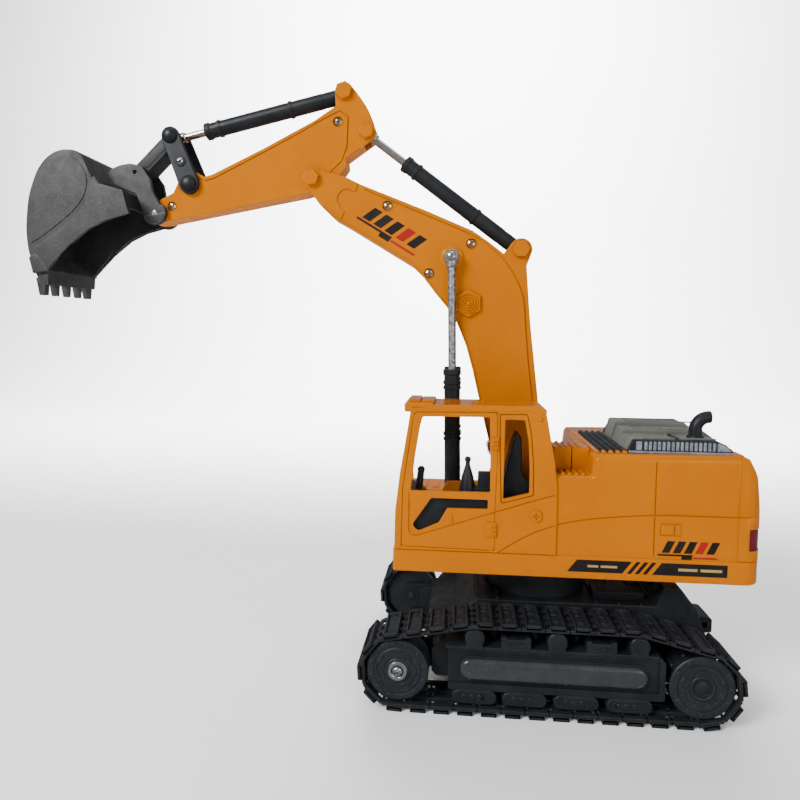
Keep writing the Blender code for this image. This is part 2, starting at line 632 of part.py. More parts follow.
def make_stick(looks, stick):
    outline = stick_outline()
    for label, side in SIDES:
        shell = plate(f"stick_{label}_shell", outline, *mirrored(GAP / 2, STICK_Y, side), looks["orange"], stick)
        cut(shell,
            plate(f"stick_{label}_hollow", inset(outline, WALL), *mirrored(-1, STICK_Y - WALL, side)),
            pin(f"stick_{label}_foot_slot", BUCKET_FOOT, *mirrored(-1, EAR_SLOT, side), 9.5),
            pin(f"stick_{label}_eye_slot", STICK_EYE, *mirrored(-1, EAR_SLOT, side), 8))
        for hole, place, radius in (("pivot", STICK_PIVOT, 2), ("foot", BUCKET_FOOT, 1.6), ("eye", STICK_EYE, 1.6),
                                    ("rocker", ROCKER_PIVOT, 1.8), ("bucket", BUCKET_PIVOT, 1.9)):
            cut(shell, pin(f"stick_{label}_{hole}_hole", place, *mirrored(0, 20, side), radius + PIN_PLAY,
                           sides=16))
    bolt("stick_cylinder_rod_pin", STICK_EYE, 1.6, 4.0, STICK_Y + GAP, STICK_Y + 2, looks["orange"], stick)
    bolt("bucket_cylinder_foot_pin", BUCKET_FOOT, 1.6, 4.6, STICK_Y + GAP, STICK_Y + 2.3, looks["orange"], stick)
    pin("rocker_pivot_pin", ROCKER_PIVOT, -9.1, 9.1, 1.8, looks["steel"], stick, 16)
    pin("bucket_pin", BUCKET_PIVOT, -10, 10, 1.9, looks["steel"], stick, 16)


def make_linkage(looks, rocker, link):
    black = looks["black"]
    for label, side in SIDES:
        arm = plate(f"{label}_rocker", capsule(ROCKER_PIVOT, ROCKER_TOP, 6.2, 5.6),
                    *mirrored(STICK_Y + GAP, 10.2, side), black, rocker)
        join(arm, turned(f"{label}_rocker_boss", [(0, 2.6), (3, 2.3), (4.6, 1.2), (5, 0), (5, -1), (0, -1)],
                         (ROCKER_PIVOT[0], side * 10.2, ROCKER_PIVOT[1]), (0, side, 0), black, None),
             turned(f"{label}_rocker_cap", [(0, 2.4), (2.8, 2.1), (4.3, 1.1), (4.7, 0), (4.7, -1), (0, -1)],
                    (ROCKER_TOP[0], side * 10.2, ROCKER_TOP[1]), (0, side, 0), black, None))
        cut(arm, pin(f"{label}_rocker_low_hole", ROCKER_PIVOT, *mirrored(0, 9.4, side), 1.8 + PIN_PLAY, sides=16),
            pin(f"{label}_rocker_top_hole", ROCKER_TOP, *mirrored(0, 9.4, side), 1.6 + GAP, sides=16))
    pin("link_pin", ROCKER_TOP, -9.1, 9.1, 1.6, looks["steel"], rocker, 16)
    top, low = Vector(ROCKER_TOP), Vector(EAR_HOLE)
    h_link = plate("h_link", capsule(tuple(top), tuple(low), 4.4, 4.4), -6.8, 6.8, black, link)
    cut(h_link, plate("h_link_top_gap", capsule(tuple(top), tuple(top.lerp(low, 0.22)), 6, 6), -3, 3),
        pin("h_link_top_hole", ROCKER_TOP, -10, 10, 1.6 + PIN_PLAY, sides=16),
        pin("h_link_low_hole", EAR_HOLE, -10, 10, 1.9, sides=16))


def make_bucket(looks, bucket):
    grey = looks["bucket"]
    back = [(-288.6, 231.5), (-297.7, 238.2), (-300.4, 252), (-299.9, 264.1), (-298.3, 275), (-295, 284.6),
            (-291.5, 291.5), (-286.2, 297.3), (-280, 300.6), (-273.2, 301.3), (-267.8, 300), (-264.2, 297),
            (-258.4, 287.1), (-254.8, 281.9), (-242.1, 278), (-237.1, 265.4)]
    mouth = [(-251.8, 260.6), (-262.4, 255.7), (-274.6, 246.1)]
    body = plate("bucket", back + mouth, -BUCKET_Y, BUCKET_Y, grey, bucket)
    inner = inset(back + mouth, 2.2)
    reach = (16, -24)      # out of the mouth
    hollow = inner[1:len(back) - 1]
    hollow += [(hollow[-1][0] + reach[0], hollow[-1][1] + reach[1]),
               (hollow[0][0] + reach[0], hollow[0][1] + reach[1])]
    cut(body, plate("bucket_hollow", hollow, -BUCKET_Y + 2.2, BUCKET_Y - 2.2))
    for tooth in range(5):
        y = (tooth - 2) * 10.2
        view = [(-297.4, 238), (-296.8, 230.8), (-293.5, 217.4), (-288.5, 217.4), (-288.9, 231.8), (-292, 236)]
        join(body, plate(f"bucket_tooth_{tooth}", view, y - 2.6, y + 2.6))
    ear_view = [(-255, 285.6), (-252.9, 293.8), (-245, 296.4), (-238.5, 296.5), (-234, 292.5), (-231.3, 286.5),
                (-222.6, 271.8), *arc(BUCKET_PIVOT, 7.4, 10, -120, 6), (-237.5, 266), (-244, 277.5), (-253, 282.5)]
    for label, side in SIDES:
        join(body, plate(f"bucket_{label}_ear", ear_view, *mirrored(STICK_Y + 0.4, STICK_Y + 2.8, side)))
    cut(body, pin("bucket_pivot_hole", BUCKET_PIVOT, -12, 12, 1.9 + PIN_PLAY, sides=16),
        pin("bucket_ear_hole", EAR_HOLE, -12, 12, 2.1, sides=16))


# ---------------------------------------------------------------- the whole machine

def build():
    looks = {
        "orange": material("orange_plastic", (0.80, 0.36, 0.03), 0.25),
        "black": material("black_plastic", (0.012, 0.013, 0.014), 0.4),
        "hood": material("dark_grey_plastic", (0.13, 0.13, 0.11), 0.35),
        "grille": material("blue_grey_plastic", (0.38, 0.44, 0.5), 0.45),
        "bucket": material("bucket_grey", (0.12, 0.12, 0.12), 0.5, 0.3),
        "steel": material("bright_steel", (0.75, 0.75, 0.75), 0.2, 1.0),
        "grey": material("motor_grey", (0.4, 0.4, 0.42), 0.4),
        "green": material("circuit_green", (0.03, 0.2, 0.08), 0.5),
        "red": material("red_lens", (0.35, 0.02, 0.02), 0.2),
    }
    root = joint("undercarriage", at(0, 0, 0))
    make_chassis(looks, root)
    make_tracks(looks, root)
    house = joint("slew_axis", at(0, 0, 68), root)
    make_house(looks, house)

    boom = joint("boom_axis", at(BOOM_FOOT[0], 0, BOOM_FOOT[1]), house)
    make_boom(looks, boom)
    boom_rods = joint("boom_rod_axis", at(BOOM_EYE[0], 0, BOOM_EYE[1]), boom)
    boom_barrels = joint("boom_barrel_slide", at(BARREL_FOOT[0], 0, BARREL_FOOT[1]), boom_rods)
    for label, side in SIDES:
        cylinder((f"{label}_boom_rod", f"{label}_boom_barrel"), BOOM_EYE, BARREL_FOOT, side * CYLINDER_Y,
                 (2.2, 112, 3.4, 2.2, 1.5), (4.3, 64, 152.8), (boom_rods, boom_barrels), looks)

    stick = joint("stick_axis", at(STICK_PIVOT[0], 0, STICK_PIVOT[1]), boom)
    make_stick(looks, stick)
    stick_rod = joint("stick_rod_axis", at(STICK_EYE[0], 0, STICK_EYE[1]), stick)
    stick_barrel = joint("stick_barrel_slide", at(STICK_FOOT[0], 0, STICK_FOOT[1]), stick_rod)
    cylinder(("stick_cylinder_rod", "stick_cylinder_barrel"), STICK_EYE, STICK_FOOT, 0,
             (1.9, 84, 3.4, 2.4, 1.6), (3.6, 27.5, 108.2), (stick_rod, stick_barrel), looks)

    bucket = joint("bucket_axis", at(BUCKET_PIVOT[0], 0, BUCKET_PIVOT[1]), stick)
    make_bucket(looks, bucket)
    rocker = joint("rocker_axis", at(ROCKER_PIVOT[0], 0, ROCKER_PIVOT[1]), stick)
    link = joint("link_axis", at(ROCKER_TOP[0], 0, ROCKER_TOP[1]), rocker)
    make_linkage(looks, rocker, link)
    bucket_rod = joint("bucket_rod_axis", at(ROCKER_TOP[0], 0, ROCKER_TOP[1]), rocker)
    bucket_barrel = joint("bucket_barrel_slide", at(BUCKET_FOOT[0], 0, BUCKET_FOOT[1]), bucket_rod)
    cylinder(("bucket_cylinder_rod", "bucket_cylinder_barrel"), ROCKER_TOP, BUCKET_FOOT, 0,
             (1.9, 80, 3.4, 2.4, 1.6), (3.6, 19, 102.4), (bucket_rod, bucket_barrel), looks)


clear_scene()
PARTS = new_collection("toy_excavator")
CUTTERS = new_collection("cutters", hidden=True)
build()
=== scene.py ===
"""Looks for the toy excavator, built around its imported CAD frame.

Shapes are measured in millimetres in the machine's own frame: x runs to the rear from the slew axis,
y to the operator's right and z up from the ground. at() turns such a point into the frame's metres.
"""

import json
import math

import bmesh
import bpy
from mathutils import Matrix, Vector


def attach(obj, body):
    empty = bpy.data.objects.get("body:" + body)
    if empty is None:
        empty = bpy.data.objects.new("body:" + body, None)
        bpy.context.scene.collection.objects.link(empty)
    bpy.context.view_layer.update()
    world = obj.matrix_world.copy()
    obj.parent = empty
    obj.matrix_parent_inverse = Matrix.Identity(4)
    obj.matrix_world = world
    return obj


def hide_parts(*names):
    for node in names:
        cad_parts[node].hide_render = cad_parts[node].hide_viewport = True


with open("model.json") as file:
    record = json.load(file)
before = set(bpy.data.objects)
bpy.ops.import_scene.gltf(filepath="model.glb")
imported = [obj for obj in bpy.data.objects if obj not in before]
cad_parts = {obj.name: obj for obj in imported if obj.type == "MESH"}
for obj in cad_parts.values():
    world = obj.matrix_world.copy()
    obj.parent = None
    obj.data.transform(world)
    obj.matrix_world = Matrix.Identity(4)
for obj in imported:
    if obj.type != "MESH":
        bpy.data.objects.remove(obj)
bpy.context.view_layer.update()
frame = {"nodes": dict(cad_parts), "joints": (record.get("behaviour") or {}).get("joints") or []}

MM = 0.001
CRISP = 0.01    # the edge rounding of a cutter or a printed shape, which only has to be above zero
JOINTS = {joint["name"]: joint for joint in frame["joints"]}
SLEW_X = JOINTS["slew"]["pos_m"][0]
SIDES = (("left", -1), ("right", 1))


def pivot(name):
    """Where a joint's axis crosses the middle plane, as (x, z)."""
    x, _, z = JOINTS[name]["pos_m"]
    return (x - SLEW_X) / MM, z / MM


def at(x, y, z):
    return Vector((SLEW_X + x * MM, y * MM, z * MM))


BOOM_FOOT, BOOM_EYE, BARREL_FOOT = pivot("boom_lift"), pivot("boom_rod_tilt"), (-48.8, 84.5)
STICK_PIVOT, STICK_EYE, STICK_FOOT = pivot("stick_swing"), pivot("stick_rod_tilt"), (-12.4, 245.8)
BUCKET_PIVOT, BUCKET_FOOT = pivot("bucket_curl"), (-115.6, 336.6)
ROCKER_PIVOT, ROCKER_TOP, EAR_HOLE = pivot("rocker_swing"), pivot("link_tilt"), (-241.0, 291.5)
AXLE_Z, IDLER_X, SPROCKET_X = 21.0, -76.0, 78.0
ROLLERS = ((-36.0, 40.5), (6.0, 40.5), (47.0, 40.5))


# ---------------------------------------------------------------- outlines

def arc(centre, radius, start, end, steps=8):
    """Points round a centre, between two angles in degrees."""
    angles = [math.radians(start + (end - start) * i / steps) for i in range(steps + 1)]
    return [(centre[0] + radius * math.cos(a), centre[1] + radius * math.sin(a)) for a in angles]


def capsule(a, b, radius_a, radius_b, steps=10):
    """The outline round two discs."""
    turn = math.degrees(math.atan2(b[1] - a[1], b[0] - a[0]))
    return arc(a, radius_a, turn + 90, turn + 270, steps) + arc(b, radius_b, turn - 90, turn + 90, steps)


def rectangle(low, high):
    return [(low[0], low[1]), (high[0], low[1]), (high[0], high[1]), (low[0], high[1])]


def rounded(outline, radius, steps=3):
    """The outline with its corners rounded; radius is one number, or one for each corner."""
    made = []
    for i, here in enumerate(outline):
        point = Vector(here)
        before, after = Vector(outline[i - 1]) - point, Vector(outline[(i + 1) % len(outline)]) - point
        size = radius[i] if isinstance(radius, (list, tuple)) else radius
        angle = before.angle(after)
        if not size or angle > math.radians(168):
            made.append(tuple(here))
            continue
        back = min(size / math.tan(angle / 2), 0.48 * before.length, 0.48 * after.length)
        start, end = point + before.normalized() * back, point + after.normalized() * back
        for k in range(steps + 1):
            t = k / steps
            made.append(tuple(start.lerp(point, t).lerp(point.lerp(end, t), t)))
    return made


def smooth_line(points, steps=5):
    """A soft curve through the points."""
    made = []
    for i in range(len(points) - 1):
        p = [Vector(points[max(0, min(len(points) - 1, i + k))]) for k in (-1, 0, 1, 2)]
        for k in range(steps):
            t = k / steps
            square = (2 * p[0] - 5 * p[1] + 4 * p[2] - p[3]) * t * t
            cube = (3 * p[1] - p[0] - 3 * p[2] + p[3]) * t ** 3
            made.append(tuple(0.5 * (2 * p[1] + (p[2] - p[0]) * t + square + cube)))
    return made + [tuple(points[-1])]


def inset(outline, distance):
    """The outline moved inwards, its corners mitred."""
    doubled = sum(a[0] * b[1] - b[0] * a[1] for a, b in zip(outline, outline[1:] + outline[:1]))
    side = 1 if doubled > 0 else -1
    moved = []
    for i, here in enumerate(outline):
        before, after = outline[i - 1], outline[(i + 1) % len(outline)]
        u = Vector((here[0] - before[0], here[1] - before[1])).normalized()
        v = Vector((after[0] - here[0], after[1] - here[1])).normalized()
        inward = (Vector((-u.y, u.x)) + Vector((-v.y, v.x))) * side
        inward *= distance / max(0.35, 1 + u.dot(v))
        moved.append((here[0] + inward.x, here[1] + inward.y))
    return moved


# ---------------------------------------------------------------- meshes

def taken(work):
    """The mesh of a bmesh, which is freed."""
    mesh = bpy.data.meshes.new("shape")
    work.to_mesh(mesh)
    work.free()
    return mesh


def baked(data, change=None):
    """The mesh of a curve or mesh after the modifiers that change adds."""
    guide = bpy.data.objects.new("guide", data)
    bpy.context.scene.collection.objects.link(guide)
    if change:
        change(guide)
    depsgraph = bpy.context.evaluated_depsgraph_get()
    mesh = bpy.data.meshes.new_from_object(guide.evaluated_get(depsgraph))
    bpy.data.objects.remove(guide)
    return mesh


def welded(mesh):
    """The mesh without doubled points and edges of no length."""
    near = 0.0005 * MM
    work = bmesh.new()
    work.from_mesh(mesh)
    bmesh.ops.remove_doubles(work, verts=work.verts, dist=near)
    bmesh.ops.dissolve_degenerate(work, edges=work.edges, dist=near)
    return taken(work)


def thick(outlines, half, edge, fineness=1):
    """A flat shape given thickness, with rounded edges."""
    curve = bpy.data.curves.new("outline", "CURVE")
    curve.dimensions = "2D"
    curve.fill_mode = "BOTH"
    curve.extrude = (half - edge) * MM
    curve.bevel_depth = edge * MM
    curve.bevel_resolution = fineness
    curve.offset = -edge * MM
    for outline in outlines:
        spline = curve.splines.new("POLY")
        spline.points.add(len(outline) - 1)
        for point, (u, v) in zip(spline.points, outline):
            point.co = (u * MM, v * MM, 0, 1)
        spline.use_cyclic_u = True
    return welded(baked(curve))


def plate(outline, y_low, y_high, edge=0.3, holes=(), fineness=1):
    """A shape in x and z, from y_low to y_high."""
    mesh = thick([outline, *holes], (y_high - y_low) / 2, edge, fineness)
    mesh.transform(Matrix.Translation(at(0, (y_low + y_high) / 2, 0)) @ Matrix.Rotation(math.pi / 2, 4, "X"))
    return mesh


def slab(outline, z_low, z_high, edge=0.3, holes=(), fineness=1):
    """A shape in x and y, from z_low to z_high."""
    mesh = thick([outline, *holes], (z_high - z_low) / 2, edge, fineness)
    mesh.transform(Matrix.Translation(at(0, 0, (z_low + z_high) / 2)))
    return mesh


def mirrored(y_low, y_high, side):
    """The two y values as they are on the right, where side is 1, or mirrored to the left."""
    return (y_low, y_high) if side > 0 else (-y_high, -y_low)


def block(low, high, edge=0.3, segments=2):
    """A box with rounded edges."""
    work = bmesh.new()
    bmesh.ops.create_cube(work, size=1)
    size = Vector([(b - a) * MM for a, b in zip(low, high)])
    middle = at(*[(a + b) / 2 for a, b in zip(low, high)])
    bmesh.ops.transform(work, matrix=Matrix.Translation(middle) @ Matrix.Diagonal((*size, 1)), verts=work.verts)
    if edge:
        bmesh.ops.bevel(work, geom=list(work.edges), offset=min(edge * MM, min(size) * 0.45), segments=segments,
                        profile=0.5, affect="EDGES", clamp_overlap=True)
    return taken(work)


def turned(profile, place, direction, sides=32, spin=0.0):
    """(radius, height) pairs turned about a line through place; a profile off the line makes a ring."""
    work = bmesh.new()
    rings = []
    for radius, height in profile:
        if radius < 1e-6:
            rings.append([work.verts.new((0, 0, height * MM))])
        else:
            rings.append([work.verts.new((radius * MM * math.cos(spin + math.tau * i / sides),
                                          radius * MM * math.sin(spin + math.tau * i / sides), height * MM))
                          for i in range(sides)])
    closing = [rings[0]] if len(rings[0]) > 1 else []
    for low, high in zip(rings, rings[1:] + closing):
        for i in range(sides):
            corners = [low[i % len(low)], low[(i + 1) % len(low)], high[(i + 1) % len(high)],
                       high[i % len(high)]]
            corners = list(dict.fromkeys(corners))
            if len(corners) > 2:
                work.faces.new(corners)
    bmesh.ops.recalc_face_normals(work, faces=work.faces)
    turn = Vector(direction).to_track_quat("Z", "Y").to_matrix().to_4x4()
    bmesh.ops.transform(work, matrix=Matrix.Translation(at(*place)) @ turn, verts=work.verts)
    return taken(work)


def rod(start, end, radius, edge=0.25, sides=24):
    """A round bar between two points."""
    along = Vector(end) - Vector(start)
    length = along.length
    profile = [(0, 0), (radius - edge, 0), (radius, edge), (radius, length - edge), (radius - edge, length),
               (0, length)]
    return turned(profile, start, along, sides)


def across(centre, y_start, y_end, radius, edge=0.25, sides=24):
    """A round bar square to the machine's side, at an (x, z) point."""
    x, z = centre
    return rod((x, y_start, z), (x, y_end, z), radius, edge, sides)


def pin(centre, half, radius, edge=0.25, sides=24):
    """A round bar through the machine's middle plane."""
    return across(centre, -half, half, radius, edge, sides)


def stud(profile, centre, y, side, sides=32, spin=0.0):
    """A turned shape standing on one side of the machine, at an (x, z) point."""
    return turned(profile, (centre[0], y, centre[1]), (0, side, 0), sides, spin)


def ball(place, radius, sides=16):
    profile = [(radius * math.sin(math.pi * i / 8), -radius * math.cos(math.pi * i / 8)) for i in range(9)]
    profile[0], profile[-1] = (0, -radius), (0, radius)
    return turned(profile, place, (0, 0, 1), sides)


def tube(points, radius, closed=False, fineness=2):
    """A round cord along the points."""
    curve = bpy.data.curves.new("cord", "CURVE")
    curve.dimensions = "3D"
    curve.bevel_depth = radius * MM
    curve.bevel_resolution = fineness
    curve.use_fill_caps = True
    spline = curve.splines.new("POLY")
    spline.points.add(len(points) - 1)
    for point, place in zip(spline.points, points):
        point.co = (*at(*place), 1)
    spline.use_cyclic_u = closed
    return welded(baked(curve))


def groove(line, y, width=0.55, depth=0.6, closed=False):
    """A cutter that leaves a narrow slot along a line of (x, z) points in a side wall at y."""
    sides = []
    for reach in (-width / 2, width / 2):
        row = []
        for i, here in enumerate(line):
            before = line[i - 1] if i or closed else here
            after = line[(i + 1) % len(line)] if closed or i + 1 < len(line) else here
            along = Vector((after[0] - before[0], after[1] - before[1])).normalized()
            row.append((here[0] - along.y * reach, here[1] + along.x * reach))
        sides.append(row)
    low, high = sorted((y - math.copysign(depth, y), y + math.copysign(1.5, y)))
    if closed:
        return plate(sides[0], low, high, CRISP, holes=[sides[1]])
    return plate(sides[0] + sides[1][::-1], low, high, CRISP)


def merged(*meshes):
    work = bmesh.new()
    for mesh in meshes:
        work.from_mesh(mesh)
    return taken(work)


def carved(mesh, *tools, operation="DIFFERENCE"):
    """The mesh with each tool cut from it, or kept only inside the tools."""
    guides = [bpy.data.objects.new("tool", tool) for tool in tools]

    def change(target):
        for guide in guides:
            bpy.context.scene.collection.objects.link(guide)
            modifier = target.modifiers.new("cut", "BOOLEAN")
            modifier.operation, modifier.solver, modifier.object = operation, "EXACT", guide

    made = baked(mesh, change)
    for guide in guides:
        bpy.data.objects.remove(guide)
    return welded(made)


def softened(mesh, width):
    """The mesh with its sharp edges rounded."""
    work = bmesh.new()
    work.from_mesh(mesh)
    bmesh.ops.remove_doubles(work, verts=work.verts, dist=0.002 * MM)
    bmesh.ops.dissolve_limit(work, angle_limit=math.radians(0.5), verts=work.verts, edges=work.edges)

    def change(target):
        bevel = target.modifiers.new("edges", "BEVEL")
        bevel.width, bevel.segments = width * MM, 2
        bevel.limit_method, bevel.angle_limit = "ANGLE", math.radians(35)
        bevel.use_clamp_overlap = True
        bevel.miter_outer = "MITER_ARC"

    return baked(taken(work), change)


def flipped(mesh):
    """The mesh on the machine's other side."""
    made = mesh.copy()
    made.transform(Matrix.Scale(-1, 4, (0, 1, 0)))
    made.flip_normals()
    return made


def piece(name, meshes, look, body, *nodes, sharp=42, flat=False):
    """One visible piece, which moves with a body and stands for CAD nodes.

    With flat, faces square to an axis are shaded flat, so that a wide side stays even up to its fillets.
    """
    mesh = merged(*meshes)
    mesh.name = name
    mesh.materials.clear()
    mesh.materials.append(look)
    mesh.shade_smooth()
    mesh.set_sharp_from_angle(angle=math.radians(sharp))
    obj = bpy.data.objects.new(name, mesh)
    bpy.context.scene.collection.objects.link(obj)
    if flat:
        for face in mesh.polygons:
            face.use_smooth = max(abs(c) for c in face.normal) < 0.9999
    else:
        even = obj.modifiers.new("even_shading", "WEIGHTED_NORMAL")
        even.keep_sharp = True
    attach(obj, body)
    if nodes:
        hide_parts(*nodes)


# ---------------------------------------------------------------- materials

def noise(tree, source, scale, detail=3.0, roughness=0.55):
    made = tree.nodes.new("ShaderNodeTexNoise")
    made.inputs["Scale"].default_value = scale
    made.inputs["Detail"].default_value = detail
    made.inputs["Roughness"].default_value = roughness
    tree.links.new(source, made.inputs["Vector"])
    return made.outputs["Fac"]


def mapped(tree, value, low, high, to_low, to_high):
    made = tree.nodes.new("ShaderNodeMapRange")
    for key, number in (("From Min", low), ("From Max", high), ("To Min", to_low), ("To Max", to_high)):
        made.inputs[key].default_value = number
    tree.links.new(value, made.inputs["Value"])
    return made.outputs["Result"]


def blended(tree, factor, a, b):
    """A colour between two colours or colour outputs."""
    made = tree.nodes.new("ShaderNodeMix")
    made.data_type = "RGBA"
    tree.links.new(factor, made.inputs["Factor"])
    for key, value in (("A", a), ("B", b)):
        socket = next(s for s in made.inputs if s.name == key and s.type == "RGBA")
        if isinstance(value, tuple):
            socket.default_value = (*value, 1)
        else:
            tree.links.new(value, socket)
    return next(s for s in made.outputs if s.type == "RGBA")


def surface(name, slot, colour, second, roughness, metallic=0.0, patch=40.0, grain=900.0, bump=0.01,
            speckle=None, edge=None, specular=0.4, tint=(1.0, 1.0, 1.0), spread=(0.4, 0.6)):
    """A moulded, cast or plated surface: two tones in soft patches, uneven gloss and a fine grain.

    roughness is (low, high); speckle is (scale, colour, from, to) for small flecks; edge is (colour,
    width, strength) for a tone along edges: real rubbed wear on the cast bucket, a painted highlight
    along the edges of the black plastics, and darker edges on the hood.
    """
    material = bpy.data.materials.new(name)
    material.use_nodes = True
    material["slot"] = slot
    tree = material.node_tree
    nodes, links = tree.nodes, tree.links
    shader = nodes["Principled BSDF"]
    place = nodes.new("ShaderNodeTexCoord").outputs["Object"]
    shader.inputs["Metallic"].default_value = metallic
    shader.inputs["Specular IOR Level"].default_value = specular
    shader.inputs["Specular Tint"].default_value = (*tint, 1)
    patches = noise(tree, place, patch)
    tone = blended(tree, mapped(tree, patches, *spread, 0, 1), colour, second)
    if speckle:
        scale, fleck, low, high = speckle
        tone = blended(tree, mapped(tree, noise(tree, place, scale, 2), low, high, 0, 1), tone, fleck)
    if edge:
        pale, width, strength = edge
        bevel = nodes.new("ShaderNodeBevel")
        bevel.inputs["Radius"].default_value = width * MM
        plain = nodes.new("ShaderNodeNewGeometry")
        facing = nodes.new("ShaderNodeVectorMath")
        facing.operation = "DOT_PRODUCT"
        links.new(bevel.outputs["Normal"], facing.inputs[0])
        links.new(plain.outputs["Normal"], facing.inputs[1])
        # mask along edges for the edge tone: real wear on the bucket, a painted highlight (painted sheen) on
        # the black plastics
        wear_and_sheen_mask = mapped(tree, facing.outputs["Value"], 0.995, 0.85, 0, strength)
        broken_wear_and_sheen = nodes.new("ShaderNodeMath")
        broken_wear_and_sheen.operation = "MULTIPLY"
        links.new(wear_and_sheen_mask, broken_wear_and_sheen.inputs[0])
        links.new(mapped(tree, noise(tree, place, 700, 4), 0.35, 0.6, 0.25, 1), broken_wear_and_sheen.inputs[1])
        tone = blended(tree, broken_wear_and_sheen.outputs[0], tone, pale)
    links.new(tone, shader.inputs["Base Color"])
    links.new(mapped(tree, noise(tree, place, patch * 3.1), 0.3, 0.7, *roughness), shader.inputs["Roughness"])
    relief = nodes.new("ShaderNodeBump")
    relief.inputs["Strength"].default_value = 1.0
    relief.inputs["Distance"].default_value = bump * MM
    links.new(noise(tree, place, grain, 4, 0.6), relief.inputs["Height"])
    links.new(relief.outputs["Normal"], shader.inputs["Normal"])
    return material


GLOW = (1.0, 0.5, 0.08)     # plastic this saturated mirrors a room in its own colour
ORANGE = surface("orange_gloss_plastic", "orange_plastic", (0.435, 0.122, 0.0), (0.41, 0.113, 0.0), (0.1, 0.18),
                 patch=30, grain=1500, bump=0.003, tint=GLOW, specular=0.4)
# its paler bluish edge tone is a painted highlight: the sheen that light gives its edges is painted into the
# colour
BLACK = surface("black_satin_plastic", "black_plastic", (0.0095, 0.011, 0.013), (0.013, 0.015, 0.0175),
                (0.34, 0.5), patch=60, grain=1800, bump=0.01, specular=0.2,
                edge=((0.034, 0.038, 0.044), 0.35, 0.7))
# its paler bluish edge tone is a painted highlight: the sheen that light gives the link edges is painted into
# the colour
BELT = surface("black_track_plastic", "black_plastic", (0.0115, 0.0135, 0.016), (0.0155, 0.018, 0.021),
               (0.36, 0.52), patch=80, grain=1400, bump=0.02, specular=0.22,
               edge=((0.05, 0.056, 0.064), 0.32, 0.8))
GLOSS_BLACK = surface("black_gloss_plastic", "black_plastic", (0.024, 0.026, 0.030), (0.031, 0.034, 0.039),
                      (0.2, 0.32), patch=50, grain=1200, bump=0.004)
HOOD = surface("olive_grey_plastic", "dark_grey_plastic", (0.104, 0.104, 0.095), (0.122, 0.122, 0.111),
               (0.3, 0.44), patch=45, grain=1500, bump=0.012, specular=0.2,
               edge=((0.08, 0.08, 0.072), 0.4, 0.5))
GRILLE = surface("blue_grey_plastic", "blue_grey_plastic", (0.10, 0.12, 0.145), (0.18, 0.205, 0.24),
                 (0.35, 0.5), patch=130, grain=900, bump=0.03, speckle=(900, (0.24, 0.27, 0.3), 0.5, 0.72))
BUCKET = surface("cast_bucket_grey", "bucket_grey", (0.016, 0.0173, 0.0165), (0.0245, 0.0258, 0.0245),
                 (0.4, 0.58), metallic=0.2, patch=55, grain=1300, bump=0.05,
                 speckle=(1600, (0.055, 0.058, 0.055), 0.55, 0.75), edge=((0.17, 0.17, 0.16), 0.5, 0.9))
STEEL = surface("bright_steel", "bright_steel", (0.62, 0.62, 0.63), (0.5, 0.5, 0.51), (0.14, 0.26),
                metallic=1.0, patch=200, grain=1500, bump=0.006)
ZINC = surface("galvanised_steel", "galvanised_steel", (0.20, 0.205, 0.21), (0.46, 0.47, 0.48), (0.3, 0.5),
               metallic=0.9, patch=420, grain=900, bump=0.04, speckle=(700, (0.07, 0.07, 0.073), 0.56, 0.7))
MOTOR = surface("motor_grey_plastic", "motor_grey", (0.16, 0.16, 0.17), (0.2, 0.2, 0.21), (0.35, 0.5))
CIRCUIT = surface("circuit_green", "circuit_green", (0.01, 0.09, 0.03), (0.015, 0.12, 0.04), (0.3, 0.5),
                  patch=300)
RED = surface("red_lens", "red_lens", (0.11, 0.006, 0.009), (0.085, 0.005, 0.007), (0.12, 0.25), patch=120)
INK = surface("black_ink", "black_plastic", (0.008, 0.006, 0.005), (0.012, 0.009, 0.008), (0.3, 0.42),
              patch=120, specular=0.25)
RED_INK = surface("red_ink", "red_lens", (0.30, 0.006, 0.003), (0.27, 0.005, 0.003), (0.3, 0.42), patch=120,
                  specular=0.25)
PALE_INK = surface("pale_ink", "orange_plastic", (0.34, 0.24, 0.07), (0.3, 0.21, 0.06), (0.3, 0.42), patch=120)


# ---------------------------------------------------------------- small fittings

def fitting(maker):
    """A fitting made once, pointing up at the frame's origin, and placed many times."""
    mesh = maker()
    mesh.transform(Matrix.Translation(-at(0, 0, 0)))

    def place(x, y, z, direction=(0, -1, 0), spin=0.0, size=1.0):
        made = mesh.copy()
        turn = Vector(direction).to_track_quat("Z", "Y").to_matrix().to_4x4()
        made.transform(Matrix.Translation(at(x, y, z)) @ turn @ Matrix.Rotation(spin, 4, "Z")
                       @ Matrix.Scale(size, 4))
        return made

    return place


def phillips():
    """A domed screw head of radius 1, its cross cut in."""
    head = turned([(0, -0.6), (1, -0.6), (1, 0.05), (0.9, 0.25), (0.6, 0.42), (0, 0.5)], (0, 0, 0), (0, 0, 1),
                  24)
    bars = [block((-0.68, -0.17, -0.15), (0.68, 0.17, 2), 0), block((-0.17, -0.68, -0.15), (0.17, 0.68, 2), 0)]
    return carved(head, *bars)


screw_head = fitting(phillips)
bump_head = fitting(lambda: turned([(0, -0.5), (1, -0.5), (1, 0.1), (0.82, 0.42), (0.45, 0.6), (0, 0.65)],
                                   (0, 0, 0), (0, 0, 1), 12))


# ---------------------------------------------------------------- tracks

TRACK_MIDDLE, TRACK_HALF = 50.25, 13.7
BELT_R, ROLLER_R, LINKS = 17.0, 5.5, 34


